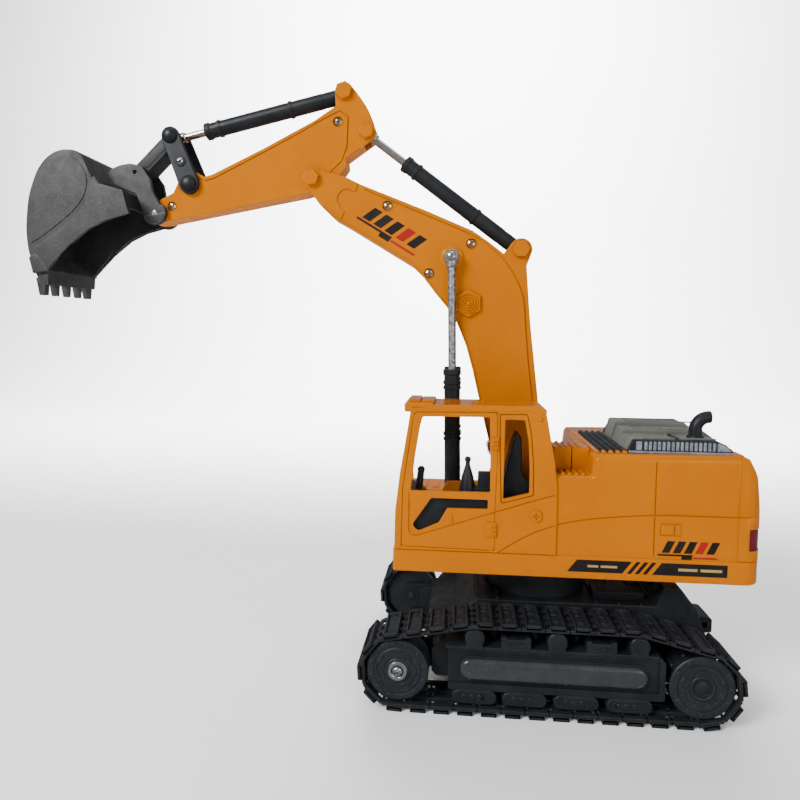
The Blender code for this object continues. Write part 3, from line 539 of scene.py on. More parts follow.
def belt_path():
    """Points along the belt's inner face, each with its outward direction and its length so far."""
    wheels = [((IDLER_X, AXLE_Z), BELT_R), *[(place, ROLLER_R) for place in ROLLERS],
              ((SPROCKET_X, AXLE_Z), BELT_R)]
    points, arrive = [], math.radians(270)
    for (here, r), (there, s) in zip(wheels, wheels[1:] + wheels[:1]):
        gap = Vector((there[0] - here[0], there[1] - here[1]))
        leave = math.atan2(gap.y, gap.x) + math.acos(max(-1, min(1, (r - s) / gap.length)))
        leave = math.remainder(leave, math.tau)
        sweep = (arrive - leave) % math.tau
        sweep = 0 if sweep > math.pi * 1.5 else sweep
        for angle in [leave + sweep * (1 - i / 24) for i in range(25)]:
            out = Vector((math.cos(angle), math.sin(angle)))
            points.append((Vector(here) + out * r, out))
        arrive = leave
    points.append(points[0])
    lengths = [0.0]
    for (a, _), (b, _) in zip(points, points[1:]):
        lengths.append(lengths[-1] + (b - a).length)
    return points, lengths


def belt_place(points, lengths, s):
    """The point and the outward direction at length s along the belt."""
    s %= lengths[-1]
    index = max(i for i in range(len(lengths) - 1) if lengths[i] <= s + 1e-9)
    span = lengths[index + 1] - lengths[index]
    t = (s - lengths[index]) / span if span > 1e-9 else 0.0
    return points[index][0].lerp(points[index + 1][0], t), points[index][1].lerp(points[index + 1][1],
                                                                                 t).normalized()


def track_link(pitch):
    """One link, lying flat round the origin: x along the belt, y across it and z outwards."""
    half = TRACK_HALF
    parts = [block((-3.9, -half, 1.2), (3.9, half, 2.7), 0.25)]
    for end in (-1, 1):
        low, high = sorted((end * 2.75, end * 4.1))
        parts.append(block((low, -half, 1.4), (high, half, 4.0), 0.42))
        low, high = sorted((end * (half - 2.3), end * half))
        parts.append(block((-4.1, low, 1.2), (4.1, high, 4.0), 0.4))
    for y in (-10.2, -4.6, 4.6, 10.2):
        parts.append(bump_head(0, y, 2.65, (0, 0, 1), size=0.95))
        parts.append(block((-1.9, y - 1.7, 2.5), (1.9, y + 1.7, 2.95), 0.2))
    for y, width in ((-11.2, 1.7), (-3.4, 1.5), (3.4, 1.5), (11.2, 1.7)):
        parts.append(block((-pitch / 2 - 0.6, y - width, 0.15), (pitch / 2 + 0.6, y + width, 1.9), 0.3))
    parts.append(rod((pitch / 2, -12.6, 1.1), (pitch / 2, 12.6, 1.1), 0.75, 0.15, 10))
    mesh = merged(*parts)
    mesh.transform(Matrix.Translation(-at(0, 0, 0)))
    return mesh


def make_belts():
    points, lengths = belt_path()
    pitch = lengths[-1] / LINKS
    link = track_link(pitch)
    placed = []
    for i in range(LINKS):
        point, out = belt_place(points, lengths, (i + 0.1) * pitch)
        along = Vector((-out.y, out.x))
        turn = Matrix(((-along.x, 0, out.x), (0, 1, 0), (-along.y, 0, out.y))).to_4x4()
        copy = link.copy()
        copy.transform(Matrix.Translation(at(point.x, -TRACK_MIDDLE, point.y)) @ turn)
        placed.append(copy)
    belt = merged(*placed)
    piece("left_track_belt_links", [belt], BELT, "undercarriage", "left_track_belt", sharp=35)
    piece("right_track_belt_links", [flipped(belt)], BELT, "undercarriage", "right_track_belt", sharp=35)


def ring_of(maker, count, radius, start=0.0):
    """What maker makes at evenly spaced (x, y) places round the origin."""
    return [maker(radius * math.cos(start + math.tau * i / count),
                  radius * math.sin(start + math.tau * i / count))
            for i in range(count)]


def lobes(radius, depth, count, z):
    """A scalloped loop round the z axis."""
    steps = count * 10
    return [((radius + depth * abs(math.cos(count * math.pi * i / steps))) * math.cos(math.tau * i / steps),
             (radius + depth * abs(math.cos(count * math.pi * i / steps))) * math.sin(math.tau * i / steps), z)
            for i in range(steps)]


def idler_wheel():
    """The front wheel, standing on its inner face at the origin."""
    wheel = turned([(0, 0.3), (15.6, 0.3), (16.4, 1), (16.4, 7.5), (12.5, 8.2), (12.5, 12.5), (16.4, 13.2),
                    (16.4, 19.6), (15.9, 20.3), (15.2, 20.5), (13.0, 20.5), (12.7, 20.1), (12.4, 20.1),
                    (12.1, 20.6), (11.6, 20.8), (7.4, 20.8), (7.1, 20.4), (6.7, 20.4), (6.4, 20.9), (5.9, 21.1),
                    (4.4, 21.1), (4.1, 20.8), (0, 20.8)], (0, 0, 0), (0, 0, 1), 48)
    wheel = carved(wheel, tube(lobes(9.2, 1.3, 6, 20.8), 0.62, True, 1))
    bolts = ring_of(lambda x, y: bump_head(x, y, 20.4, (0, 0, 1), size=0.8), 12, 14.1, 0.2)
    bolts += ring_of(lambda x, y: bump_head(x, y, 20.75, (0, 0, 1), size=0.55), 6, 11.3, 0.5)
    return merged(wheel, *bolts)


def sprocket_wheel():
    """The driven rear wheel, standing on its inner face at the origin."""
    wheel = turned([(0, 0.3), (13.4, 0.3), (13.9, 1), (13.9, 19.4), (15.9, 19.8), (16.2, 20.2), (15.6, 20.8),
                    (12.6, 20.8), (12.3, 20.2), (11.9, 20.2), (11.6, 20.9), (6.9, 20.9), (6.7, 20.5),
                    (6.4, 21.2), (6.0, 21.45), (5.4, 21.45), (5.0, 21.1), (4.9, 19.6), (3.6, 19.4), (2.4, 20.0),
                    (0, 20.4)],
                   (0, 0, 0), (0, 0, 1), 48)
    wheel = carved(wheel, tube(lobes(8.3, 1.0, 8, 20.9), 0.6, True, 1))
    teeth = ring_of(lambda x, y: rod((x, y, 6.5), (x, y, 14.5), 1.5, 0.4, 10), 12, 14.6)
    bolts = ring_of(lambda x, y: bump_head(x, y, 20.7, (0, 0, 1), size=0.75), 12, 14.1)
    bolts += ring_of(lambda x, y: bump_head(x, y, 20.85, (0, 0, 1), size=0.6), 8, 10.6, 0.39)
    return merged(wheel, *teeth, *bolts)


def make_wheels():
    for kind, maker, x, shaft_end in (("idler", idler_wheel, IDLER_X, 36.6),
                                      ("sprocket", sprocket_wheel, SPROCKET_X, 31.8)):
        wheel = fitting(maker)
        for label, side in SIDES:
            shaft = across((x, AXLE_Z), side * shaft_end, side * 42, 2)
            piece(f"{label}_{kind}_wheel", [wheel(x, side * 41, AXLE_Z, (0, side, 0)), shaft], BELT,
                  f"{label}_{kind}_wheel", f"{label}_{kind}")
    for label, side in SIDES:
        washer = stud([(3.2, -0.3), (5.1, -0.3), (5.2, 0.3), (4.8, 0.75), (3.6, 0.75), (3.2, 0.4)],
                      (IDLER_X, AXLE_Z), side * 62.0, side, 36)
        piece(f"{label}_idler_washer", [washer], STEEL, f"{label}_idler_wheel", f"{label}_idler_screw")
        head = screw_head(IDLER_X, side * 62.5, AXLE_Z, (0, side, 0), 0.5, 2.7)
        piece(f"{label}_idler_screw_head", [head], ZINC, f"{label}_idler_wheel")


def stadium(low_x, high_x, low_z, high_z):
    """A bar's outline with round ends."""
    radius, middle = (high_z - low_z) / 2, (low_z + high_z) / 2
    return capsule((low_x + radius, middle), (high_x - radius, middle), radius, radius)


def make_track_frames():
    outer = 60.2        # the frame's outer face
    body = plate(rounded([(-49.5, 11.8), (-49.5, 34.6), (58, 34.6), (60.5, 32), (60.5, 11.8)], 1.2),
                 -outer, -34.3, 0.4)
    window = plate(rounded(rectangle((-60, 15.6), (57.5, 32.8)), 0.8), -70, -outer + 1.4, CRISP)
    body = carved(body, window)
    parts = [body, plate(capsule((-50, AXLE_Z), (IDLER_X, AXLE_Z), 8, 8), -40, -37.3, 0.4),
             plate(rounded([(-48, 14.5), (-48, 33.5), (-55, 33.5), (-58.5, 29), (-58.5, 17), (-56, 14.5)], 1.5),
                   -52, -36, 0.5),
             plate(rounded([(-58, 14.5), (-58, 27.5), (-66, 27.5), (-70, 24), (-70, 18), (-66, 14.5)], 1.5),
                   -41, -36, 0.5)]
    bar = plate(stadium(-43.5, 51.5, 18.6, 29.6), -61.9, -outer + 0.6, 2.2, fineness=4)
    collar = carved(plate(stadium(-44.3, 52.3, 17.8, 30.4), -outer + 0.05, -outer + 1.6, 0.25),
                    plate(stadium(-43.4, 51.4, 18.7, 29.5), -70, 0, CRISP))
    parts.append(collar)
    parts.append(block((-51, -61.3, 34.3), (57, -46, 36.0), 0.4))
    for x, z in ROLLERS:
        parts.append(across((x, z), -42, -62, 5.1, 0.5, 36))
        parts.append(stud([(0, 0), (4.3, 0), (4.3, 0.35), (3.9, 0.5), (0, 0.5)], (x, z), -61.9, -1, 30))
        parts.append(block((x - 4.4, -61.9, 34.6), (x + 4.4, -50, 37.2), 0.35))
    for x in (-14.8, 28.4):
        shape = rounded([(x - 7.6, 35.5), (x - 7.6, 41.6), (x - 5.2, 41.6), (x - 4.4, 40.6), (x + 4.4, 40.6),
                         (x + 5.2, 41.6), (x + 7.6, 41.6), (x + 7.6, 35.5)], 0.5)
        slot = plate(rounded([(x - 4.6, 37.4), (x - 4.6, 39.2), (x + 4.8, 39.2), (x + 4.8, 38.6),
                              (x - 1.2, 38.4), (x + 0.6, 37.4)], 0.2), -70, -60.2, CRISP)
        parts.append(carved(plate(shape, -60.8, -54, 0.4), slot))
    for x in (-25.4, -3.6, 17.2, 37.4):
        parts.append(rod((x, -50, 35), (x, -50, 42), 1.6, 0.4, 14))
        parts.append(rod((x, -50, 37.5), (x, -50, 39.5), 2.3, 0.3, 14))
    for i, start in enumerate((-47.4, -21.6, 4.8, 31.4)):
        guard = plate(stadium(start, start + 23.2, 4.5, 12.0), -60.4, -42, 0.7, fineness=2)
        inner = plate(stadium(start + 1.8, start + 21.4, 6.2, 10.4), -70, -59.9, CRISP)
        guard = carved(guard, inner)
        if i in (0, 3):
            hole_x = start + (15.6 if i == 0 else 6.2)
            guard = carved(guard, across((hole_x, 8.3), -70, -58.9, 1.7, 0.05, 20))
            parts.append(screw_head(hole_x, -58.8, 8.3, size=1.3))
        for x in (start + 6.5, start + 10.5, start + 14.5):
            parts.append(across((x, 8.3), -59.8, -60.3, 1.3, 0.2, 16))
        parts.append(guard)
    frame_mesh = merged(*parts)
    for label, mesh, stadium_bar in (("left", frame_mesh, bar), ("right", flipped(frame_mesh), flipped(bar))):
        piece(f"{label}_track_frame_body", [mesh], BLACK, "undercarriage", f"{label}_track_frame", sharp=35)
        piece(f"{label}_track_frame_bar", [stadium_bar], GLOSS_BLACK, "undercarriage")


def make_chassis():
    side_view = [(-62, 13), (-62, 34), (-46, 40), (-33, 50.2), (62, 50.7), (66, 61), (75, 61), (83.5, 50),
                 (88, 37), (101, 35), (101, 27), (88, 25), (88, 13)]
    chassis = plate(rounded(side_view, 1.2), -34, 34, 0.5)
    tools = [block((-34.2, -31.5, 5), (82.0, 31.5, 47.5), 0.3),
             across((97.0, 31.2), -40, 40, 1.7, 0.05, 16)]
    for side in (-1, 1):
        low, high = mirrored(10, 40, side)
        tools.append(block((88.4, low, 20), (104, high, 42), 0.1))
        panel = rounded([(68, 52.4), (68.6, 59), (73.8, 59), (79.6, 51.5), (79.6, 46), (68, 46)], 0.6)
        tools.append(plate(panel, *mirrored(33.2, 40, side), CRISP))
    chassis = carved(chassis, *tools)
    ribs = [block((x, -33.6, 50.3), (x + 1.6, 33.6, 51.6), 0.3) for x in (-36, -24, 30, 42, 54)]
    plates = [block((30, side * 20 - 6, 50), (58, side * 20 + 6, 54.5), 0.6) for side in (-1, 1)]
    tabs = [block((62.5, y - 1.2, 55), (67, y + 1.2, 63.5), 0.4) for y in (-26, -14, 14, 26)]
    piece("chassis_body", [chassis, *ribs, *plates, *tabs], BLACK, "undercarriage", "chassis_frame", sharp=35)
    hub = turned([(0, 50.5), (29, 50.5), (29, 55), (28.5, 55.6), (28.5, 65.2), (28.0, 65.8), (0, 65.8)],
                 (0, 0, 0), (0, 0, 1), 64)
    piece("turntable_hub", [hub], BLACK, "undercarriage", "turntable_pedestal")


# ---------------------------------------------------------------- house

HOUSE_Y = 52.0      # half the house's width
WAIST = smooth_line([(-24.5, 83.7), (-14, 90.6), (-3.2, 96.1), (10, 100.4), (27.1, 103.4), (54.4, 105.9),
                     (80, 106.2), (96.2, 106.1)])


def house_plan(low_x, high_x, half, radius=9):
    """The house seen from above: square in front, its two rear corners rounded."""
    rear = arc((high_x - radius, half - radius), radius, 90, 0, 8)
    return [(low_x, -half), (low_x, half), *rear, *[(x, -y) for x, y in reversed(rear)]]


def make_base():
    """The house's tray, its skirt printed with stripes."""
    base = slab(rounded(house_plan(-80, 108.6, HOUSE_Y), [1.5, 1.5] + [0] * 18), 71, 83.1, 0.7, fineness=2)
    piece("house_skirt", [base], ORANGE, "house", "house_base")
    top, low = 81.2, 74.8

    def stripe(corners, side):
        return plate(corners, *mirrored(HOUSE_Y - 0.2, HOUSE_Y + 0.05, side), CRISP)

    def slanted(start, end, lean_start, lean_end):
        return [(start, low), (start + lean_start, top), (end + lean_end, top), (end, low)]

    dark, pale = [], []
    for side in (-1, 1):
        dark.append(stripe(slanted(11.2, 39.1, 4.9, 4.8), side))
        for i in range(3):
            dark.append(stripe(slanted(41.4 + 3.9 * i, 43.5 + 3.9 * i, 4.8, 4.8), side))
        dark.append(stripe(slanted(54.1, 91.2, 4.6, 0), side))
        for start, end, z_low, z_high in ((21.5, 27, 77.4, 78.6), (28.2, 36.5, 77.4, 78.6),
                                          (67, 76.5, 77.3, 78.7), (78, 88.6, 77.3, 78.7)):
            pale.append(plate(rectangle((start, z_low), (end, z_high)),
                              *mirrored(HOUSE_Y, HOUSE_Y + 0.09, side), CRISP))
    piece("skirt_stripes", dark, INK, "house")
    piece("skirt_stripe_bars", pale, PALE_INK, "house")


def make_marks(prefix, body, y_base, tilt, centre, scale):
    """A generic bar graphic on both sides: slanted blocks, one of them red, over short rules."""
    def turned_shape(corners):
        c, s = math.cos(tilt), math.sin(tilt)
        return [(centre[0] + scale * (u * c - v * s), centre[1] + scale * (u * s + v * c)) for u, v in corners]

    dark, red = [], []
    for _, side in SIDES:
        faces = mirrored(y_base - 0.2, y_base + 0.06, side)
        for i in range(5):
            u = -9 + i * 4.1
            shape = turned_shape([(u, -2.2), (u + 2.1, 2.4), (u + 4.9, 2.4), (u + 2.8, -2.2)])
            (red if i == 3 else dark).append(plate(shape, *faces, CRISP))
        for low, start, end, height, kept in ((-3.4, -10.4, 2.4, 0.7, dark), (-4.6, -1.6, 2.2, 1.3, dark),
                                              (-4.2, 2.6, 11.4, 0.7, red)):
            kept.append(plate(turned_shape(rectangle((start, low), (end, low + height))), *faces, CRISP))
    piece(f"{prefix}_mark_dark", dark, INK, body)
    piece(f"{prefix}_mark_red", red, RED_INK, body)


def make_rear():
    """The body behind the cab, with its deck and its front step."""
    view = [(0.6, 81), (0.6, 125), (22.3, 125), (23.2, 134.4), (25, 136.3), (53.4, 136.8),
            (98, 137.4), (98, 81)]
    shell = plate(rounded(view, [0, 1.2, 1.2, 1.5, 0, 0, 0, 0]), -HOUSE_Y, HOUSE_Y, 3.6, fineness=5)
    tools = []
    for side in (-1, 1):
        tools.append(groove([p for p in WAIST if p[0] > 4.0] + [(99, 106.1)], side * HOUSE_Y))
        low, high = mirrored(HOUSE_Y - 0.6, HOUSE_Y + 1.5, side)
        tools.append(block((54.12, low, 84.8), (54.68, high, 133.4), 0))
    for side in (-1, 1):
        tools.append(groove(rectangle((57.4, 95.6), (67.6, 101.7)), side * HOUSE_Y, 0.4, 0.5, True))
        low, high = mirrored(HOUSE_Y - 0.5, HOUSE_Y + 1.5, side)
        tools.append(block((64.3, low, 95.6), (64.7, high, 101.7), 0))
    shell = carved(shell, *tools)
    latch_view = rounded(rectangle((58.1, 96.3), (64.0, 101.0)), 0.3)
    latch = [plate(latch_view, *mirrored(HOUSE_Y - 0.3, HOUSE_Y + 0.3, side), 0.2) for side in (-1, 1)]
    steps, deck_steps = (8.2, 11.6, 15.0, 18.4), (29.0, 32.6, 36.2, 39.8)
    ribs = [across((x, 125.2), y_low, y_high, 1.1, 0.4, 12)
            for y_low, y_high in ((-50.0, -38.6), (22, 50.0)) for x in steps]
    wall = [block((5.0, -38.2, 124), (14.1, -21.5, 137.4), 0.5),
            block((14.5, -38.2, 124), (23.4, -21.5, 137.4), 0.5)]
    wall_ribs = [across((x, 137.5), -37.6, -22.4, 1.0, 0.35, 12) for x in steps]
    front_rib = across((25.8, 136.6), -47.5, 21, 1.25, 0.5, 14)
    bumps = [bump_head(x, -46.5, 136.6, (0, 0, 1), size=1.35) for x in deck_steps]
    bumps += [across((x, 136.8), -48.0, -45.0, 1.25, 0.5, 14) for x in deck_steps]
    piece("rear_body", [shell, *latch, *ribs, *wall, *wall_ribs, front_rib, *bumps], ORANGE, "house",
          "rear_shell", sharp=28, flat=True)
    vents = [across((x, 137.2), -45.6, 20, 1.35, 0.4, 14) for x in deck_steps]
    tray = block((27.2, -45.0, 136.4), (47.2, 20.4, 137.3), 0.2)
    piece("deck_ribs", [tray, *vents], BLACK, "house", "vent_panel")
    make_marks("rear", "house", HOUSE_Y, 0.0, (70.5, 89.6), 1.35)


def make_weight():
    """The counterweight, and a tail lens let into each of its corners."""
    profile = rounded([(96.0, 83.3), (96.0, 137.4), (99.8, 136.2), (104.4, 127), (107.6, 106), (108.6, 88),
                       (108.6, 83.3)], [0, 0, 2.5, 6, 6, 3, 0])
    weight = plate(profile, -HOUSE_Y, HOUSE_Y, 0.5)
    plan = slab(house_plan(80, 108.6, HOUSE_Y, 8.6), 70, 150, 0.3)
    weight = carved(weight, plan, operation="INTERSECT")
    tools = []
    for side in (-1, 1):
        low, high = mirrored(41, 60, side)
        tools.append(block((101.2, low, 88.9), (112, high, 100.0), 0.3))
        tools.append(groove([(95, 106.2), (101, 106.3), (112, 106.6)], side * HOUSE_Y))
    tools.append(block((106.6, -33, 104), (112, 33, 104.9), 0.2))
    tools.append(block((104.5, -24, 110), (112, 24, 122), 0.8))
    weight = carved(weight, *tools)
    weight = softened(weight, 0.5)
    slats = [block((102.6, -23, z), (105.6, 23, z + 1.3), 0.4) for z in (111.6, 114.3, 117.0, 119.4)]
    rim_view = rounded([(96.1, 136.0), (96.1, 138.4), (99.7, 137.2), (102.6, 132), (101.0, 131.2)], 0.6)
    rim = plate(rim_view, -30, 30, 0.4)
    piece("counterweight_body", [weight, *slats, rim], ORANGE, "house", "counterweight", sharp=28, flat=True)
    for label, side in SIDES:
        low, high = mirrored(-60, 41.3, side)
        lens = carved(slab(house_plan(101.4, 108.2, HOUSE_Y - 0.2, 8.2), 89.1, 99.8, 0.3),
                      block((90, low, 80), (120, high, 120), 0))
        piece(f"{label}_tail_lens", [lens], RED, "house", f"{label}_tail_light")


def make_hood():
    deck = 137.3        # the height of the deck under the hood
    low = softened(plate([(41.8, deck), (44.6, deck + 6.0), (45.6, deck + 6.5), (86.5, deck + 6.5),
                          (92.4, deck + 3.6), (93, deck)], -42, -20.5, 0.35), 0.5)
    middle = plate(rounded([(42.4, deck), (44.8, deck + 7.9), (45.8, deck + 8.5), (87, deck + 8.5),
                            (92.4, deck + 4.6), (93, deck)], [0, 1, 1, 2, 2, 0]), -22.6, -2.6, 0.7, fineness=2)
    high = plate(rounded([(42.0, deck), (44.2, deck + 9.8), (45.2, deck + 10.4), (83, deck + 10.4),
                          (87, deck + 7.0), (92.4, deck + 4.6), (93, deck)], [0, 1, 1, 2, 2, 2, 0]), -4.6, 14,
                 0.7, fineness=2)
    low = carved(low, rod((78.4, -35, deck + 2), (78.4, -35, 160), 3.6, CRISP, 28))
    tools = [slab(rounded(rectangle((x, y), (x + 17, y + 12)), 1.2), z, 160, CRISP)
             for x in (50.5, 69.0) for y, z in ((-19.4, deck + 8.1), (-0.8, deck + 9.9))]
    body = [carved(mesh, *tools) for mesh in (middle, high)]
    rims = [block((49.5, y, z), (87, y + 1.2, z + 0.8), 0.3)
            for y, z in ((-40.9, deck + 6.3), (-21.9, deck + 8.3), (-3.9, deck + 10.2))]
    cores = []
    for label, y_low, y_high, out in (("left", -46.6, -41.6, -1), ("right", 13.6, 18.6, 1)):
        outline = rounded([(41.6, deck), (44.4, deck + 6.2), (86.0, deck + 6.5), (90.6, deck + 4.6),
                           (94.0, deck + 0.8), (94.0, deck)], [0, 0.8, 2, 2, 0.5, 0], 4)
        cores.append(plate(outline, y_low + 0.6, y_high, 0.4))
        face = y_low if out < 0 else y_high
        y_pair = sorted((face - out * 2.0, face + out * 0.15))

        def rib(start, end, top):
            return block((start, y_pair[0], deck + 1.05), (end, y_pair[1], top), 0.55, 3)

        bars = [rib(45.4, 48.4, deck + 5.6)]
        bars += [rib(49.5 + 2.27 * i, 51.1 + 2.27 * i, deck + 5.7) for i in range(16)]
        bars.append(plate(rounded([(85.9, deck + 1.05), (85.9, deck + 5.7), (87.6, deck + 5.2),
                                   (90.6, deck + 3.9), (93.0, deck + 1.05)], [0.5, 0.5, 1.2, 1.2, 0.4]),
                          *y_pair, 0.5))
        strip = block((41.8, y_low - 0.3, deck - 0.4), (94.4, y_high - 0.1, deck + 0.75), 0.35)
        piece(f"{label}_grille_bars", [*bars, strip], GRILLE, "house", f"{label}_grille")
    piece("grille_cores", cores, BLACK, "house")
    piece("hood_body", [low, *body, *rims], HOOD, "house", "engine_hood")
    latch = [block((66.3, -43.2, deck + 6.2), (67.6, -31.0, deck + 7.8), 0.4),
             block((65.6, -31.6, deck + 6.2), (68.4, -29.6, deck + 8.2), 0.4),
             block((66.0, -3.0, deck + 8.4), (72.0, -1.6, deck + 10.9), 0.4)]
    piece("hood_latches", latch, GLOSS_BLACK, "house")


def make_exhaust():
    route = [(78.4, 141), (78.4, 147.6)] + arc((85.3, 148.1), 6.9, 178, 96, 8) + [(85.8, 155.0)]
    pipe = tube([(x, -35, z) for x, z in route], 3.3, fineness=6)
    pipe = carved(pipe, rod((83.4, -35, 154.6), (92, -35, 155.4), 2.5, 0.05, 24))
    foot = turned([(0, 0), (4.3, 0), (4.3, 0.8), (3.9, 1.3), (3.4, 1.5), (0, 1.5)], (78.4, -35, 143.6),
                  (0, 0, 1), 32)
    piece("exhaust_stack", [pipe, foot], BLACK, "house", "exhaust_pipe")


# ---------------------------------------------------------------- cab

CAB_LEFT, CAB_RIGHT = -53.0, -20.5
CAB_FRONT = [(-79.2, 83.3), (-78.9, 104), (-76.6, 124.5), (-74.4, 137.5), (-71.2, 158.4)]
CAB_BACK = [(-1.6, 158.4), (0.6, 147), (3.4, 132), (5.2, 118), (5.2, 83.3)]
DOOR = rounded([(-75.6, 85.0), (-75.0, 116.6), (-71.9, 138.6), (-69.4, 156.6), (-26.2, 157.2), (-25.8, 134.2),
                (-26.6, 104.4), (-26.4, 84.4)], [0.5, 0, 0, 3.0, 0.6, 0, 0, 0.5], 5)
MAIN_WINDOW = rounded([(-70.8, 114.9), (-68.6, 134), (-65.4, 154.2), (-30.1, 154.5), (-29.6, 134),
                       (-29.3, 115.2)], [0.8, 0, 2.2, 1.0, 0, 0.8], 4)
LOWER_WINDOW = rounded([(-59.9, 111.2), (-30.4, 111.1), (-30.4, 106.3), (-51.4, 106.1), (-55.9, 98.2),
                        (-66.8, 93.2), (-69.8, 96.6)], [1, 0.8, 0.8, 1, 2, 2.4, 2.4], 4)
REAR_FRAME = rounded([(-25.0, 156.2), (-11.0, 156.6), (-8.6, 146), (-7.2, 130), (-6.9, 114.2), (-23.6, 109.4),
                      (-24.6, 134.3)], [0.8, 1.5, 0, 0, 1, 1, 0], 4)
REAR_WINDOW = rounded([(-22.2, 153.5), (-12.2, 153.4), (-10.2, 142.7), (-9.3, 128), (-9.3, 115.5),
                       (-22.5, 112.0)], [0.8, 0.8, 0, 0, 0.8, 0.8], 4)


def wall_strip(line, depth, z_low, z_high):
    """The part of a wall's outline between two heights, depth thick towards +x."""
    def x_at(z):
        for (xa, za), (xb, zb) in zip(line, line[1:]):
            if min(za, zb) - 1e-6 <= z <= max(za, zb) + 1e-6:
                return xa + (xb - xa) * (z - za) / (zb - za)
        return line[-1][0]

    heights = sorted({z_low, z_high, *[z for _, z in line if z_low < z < z_high]})
    outer = [(x_at(z), z) for z in heights]
    return outer + [(x + depth, z) for x, z in reversed(outer)]


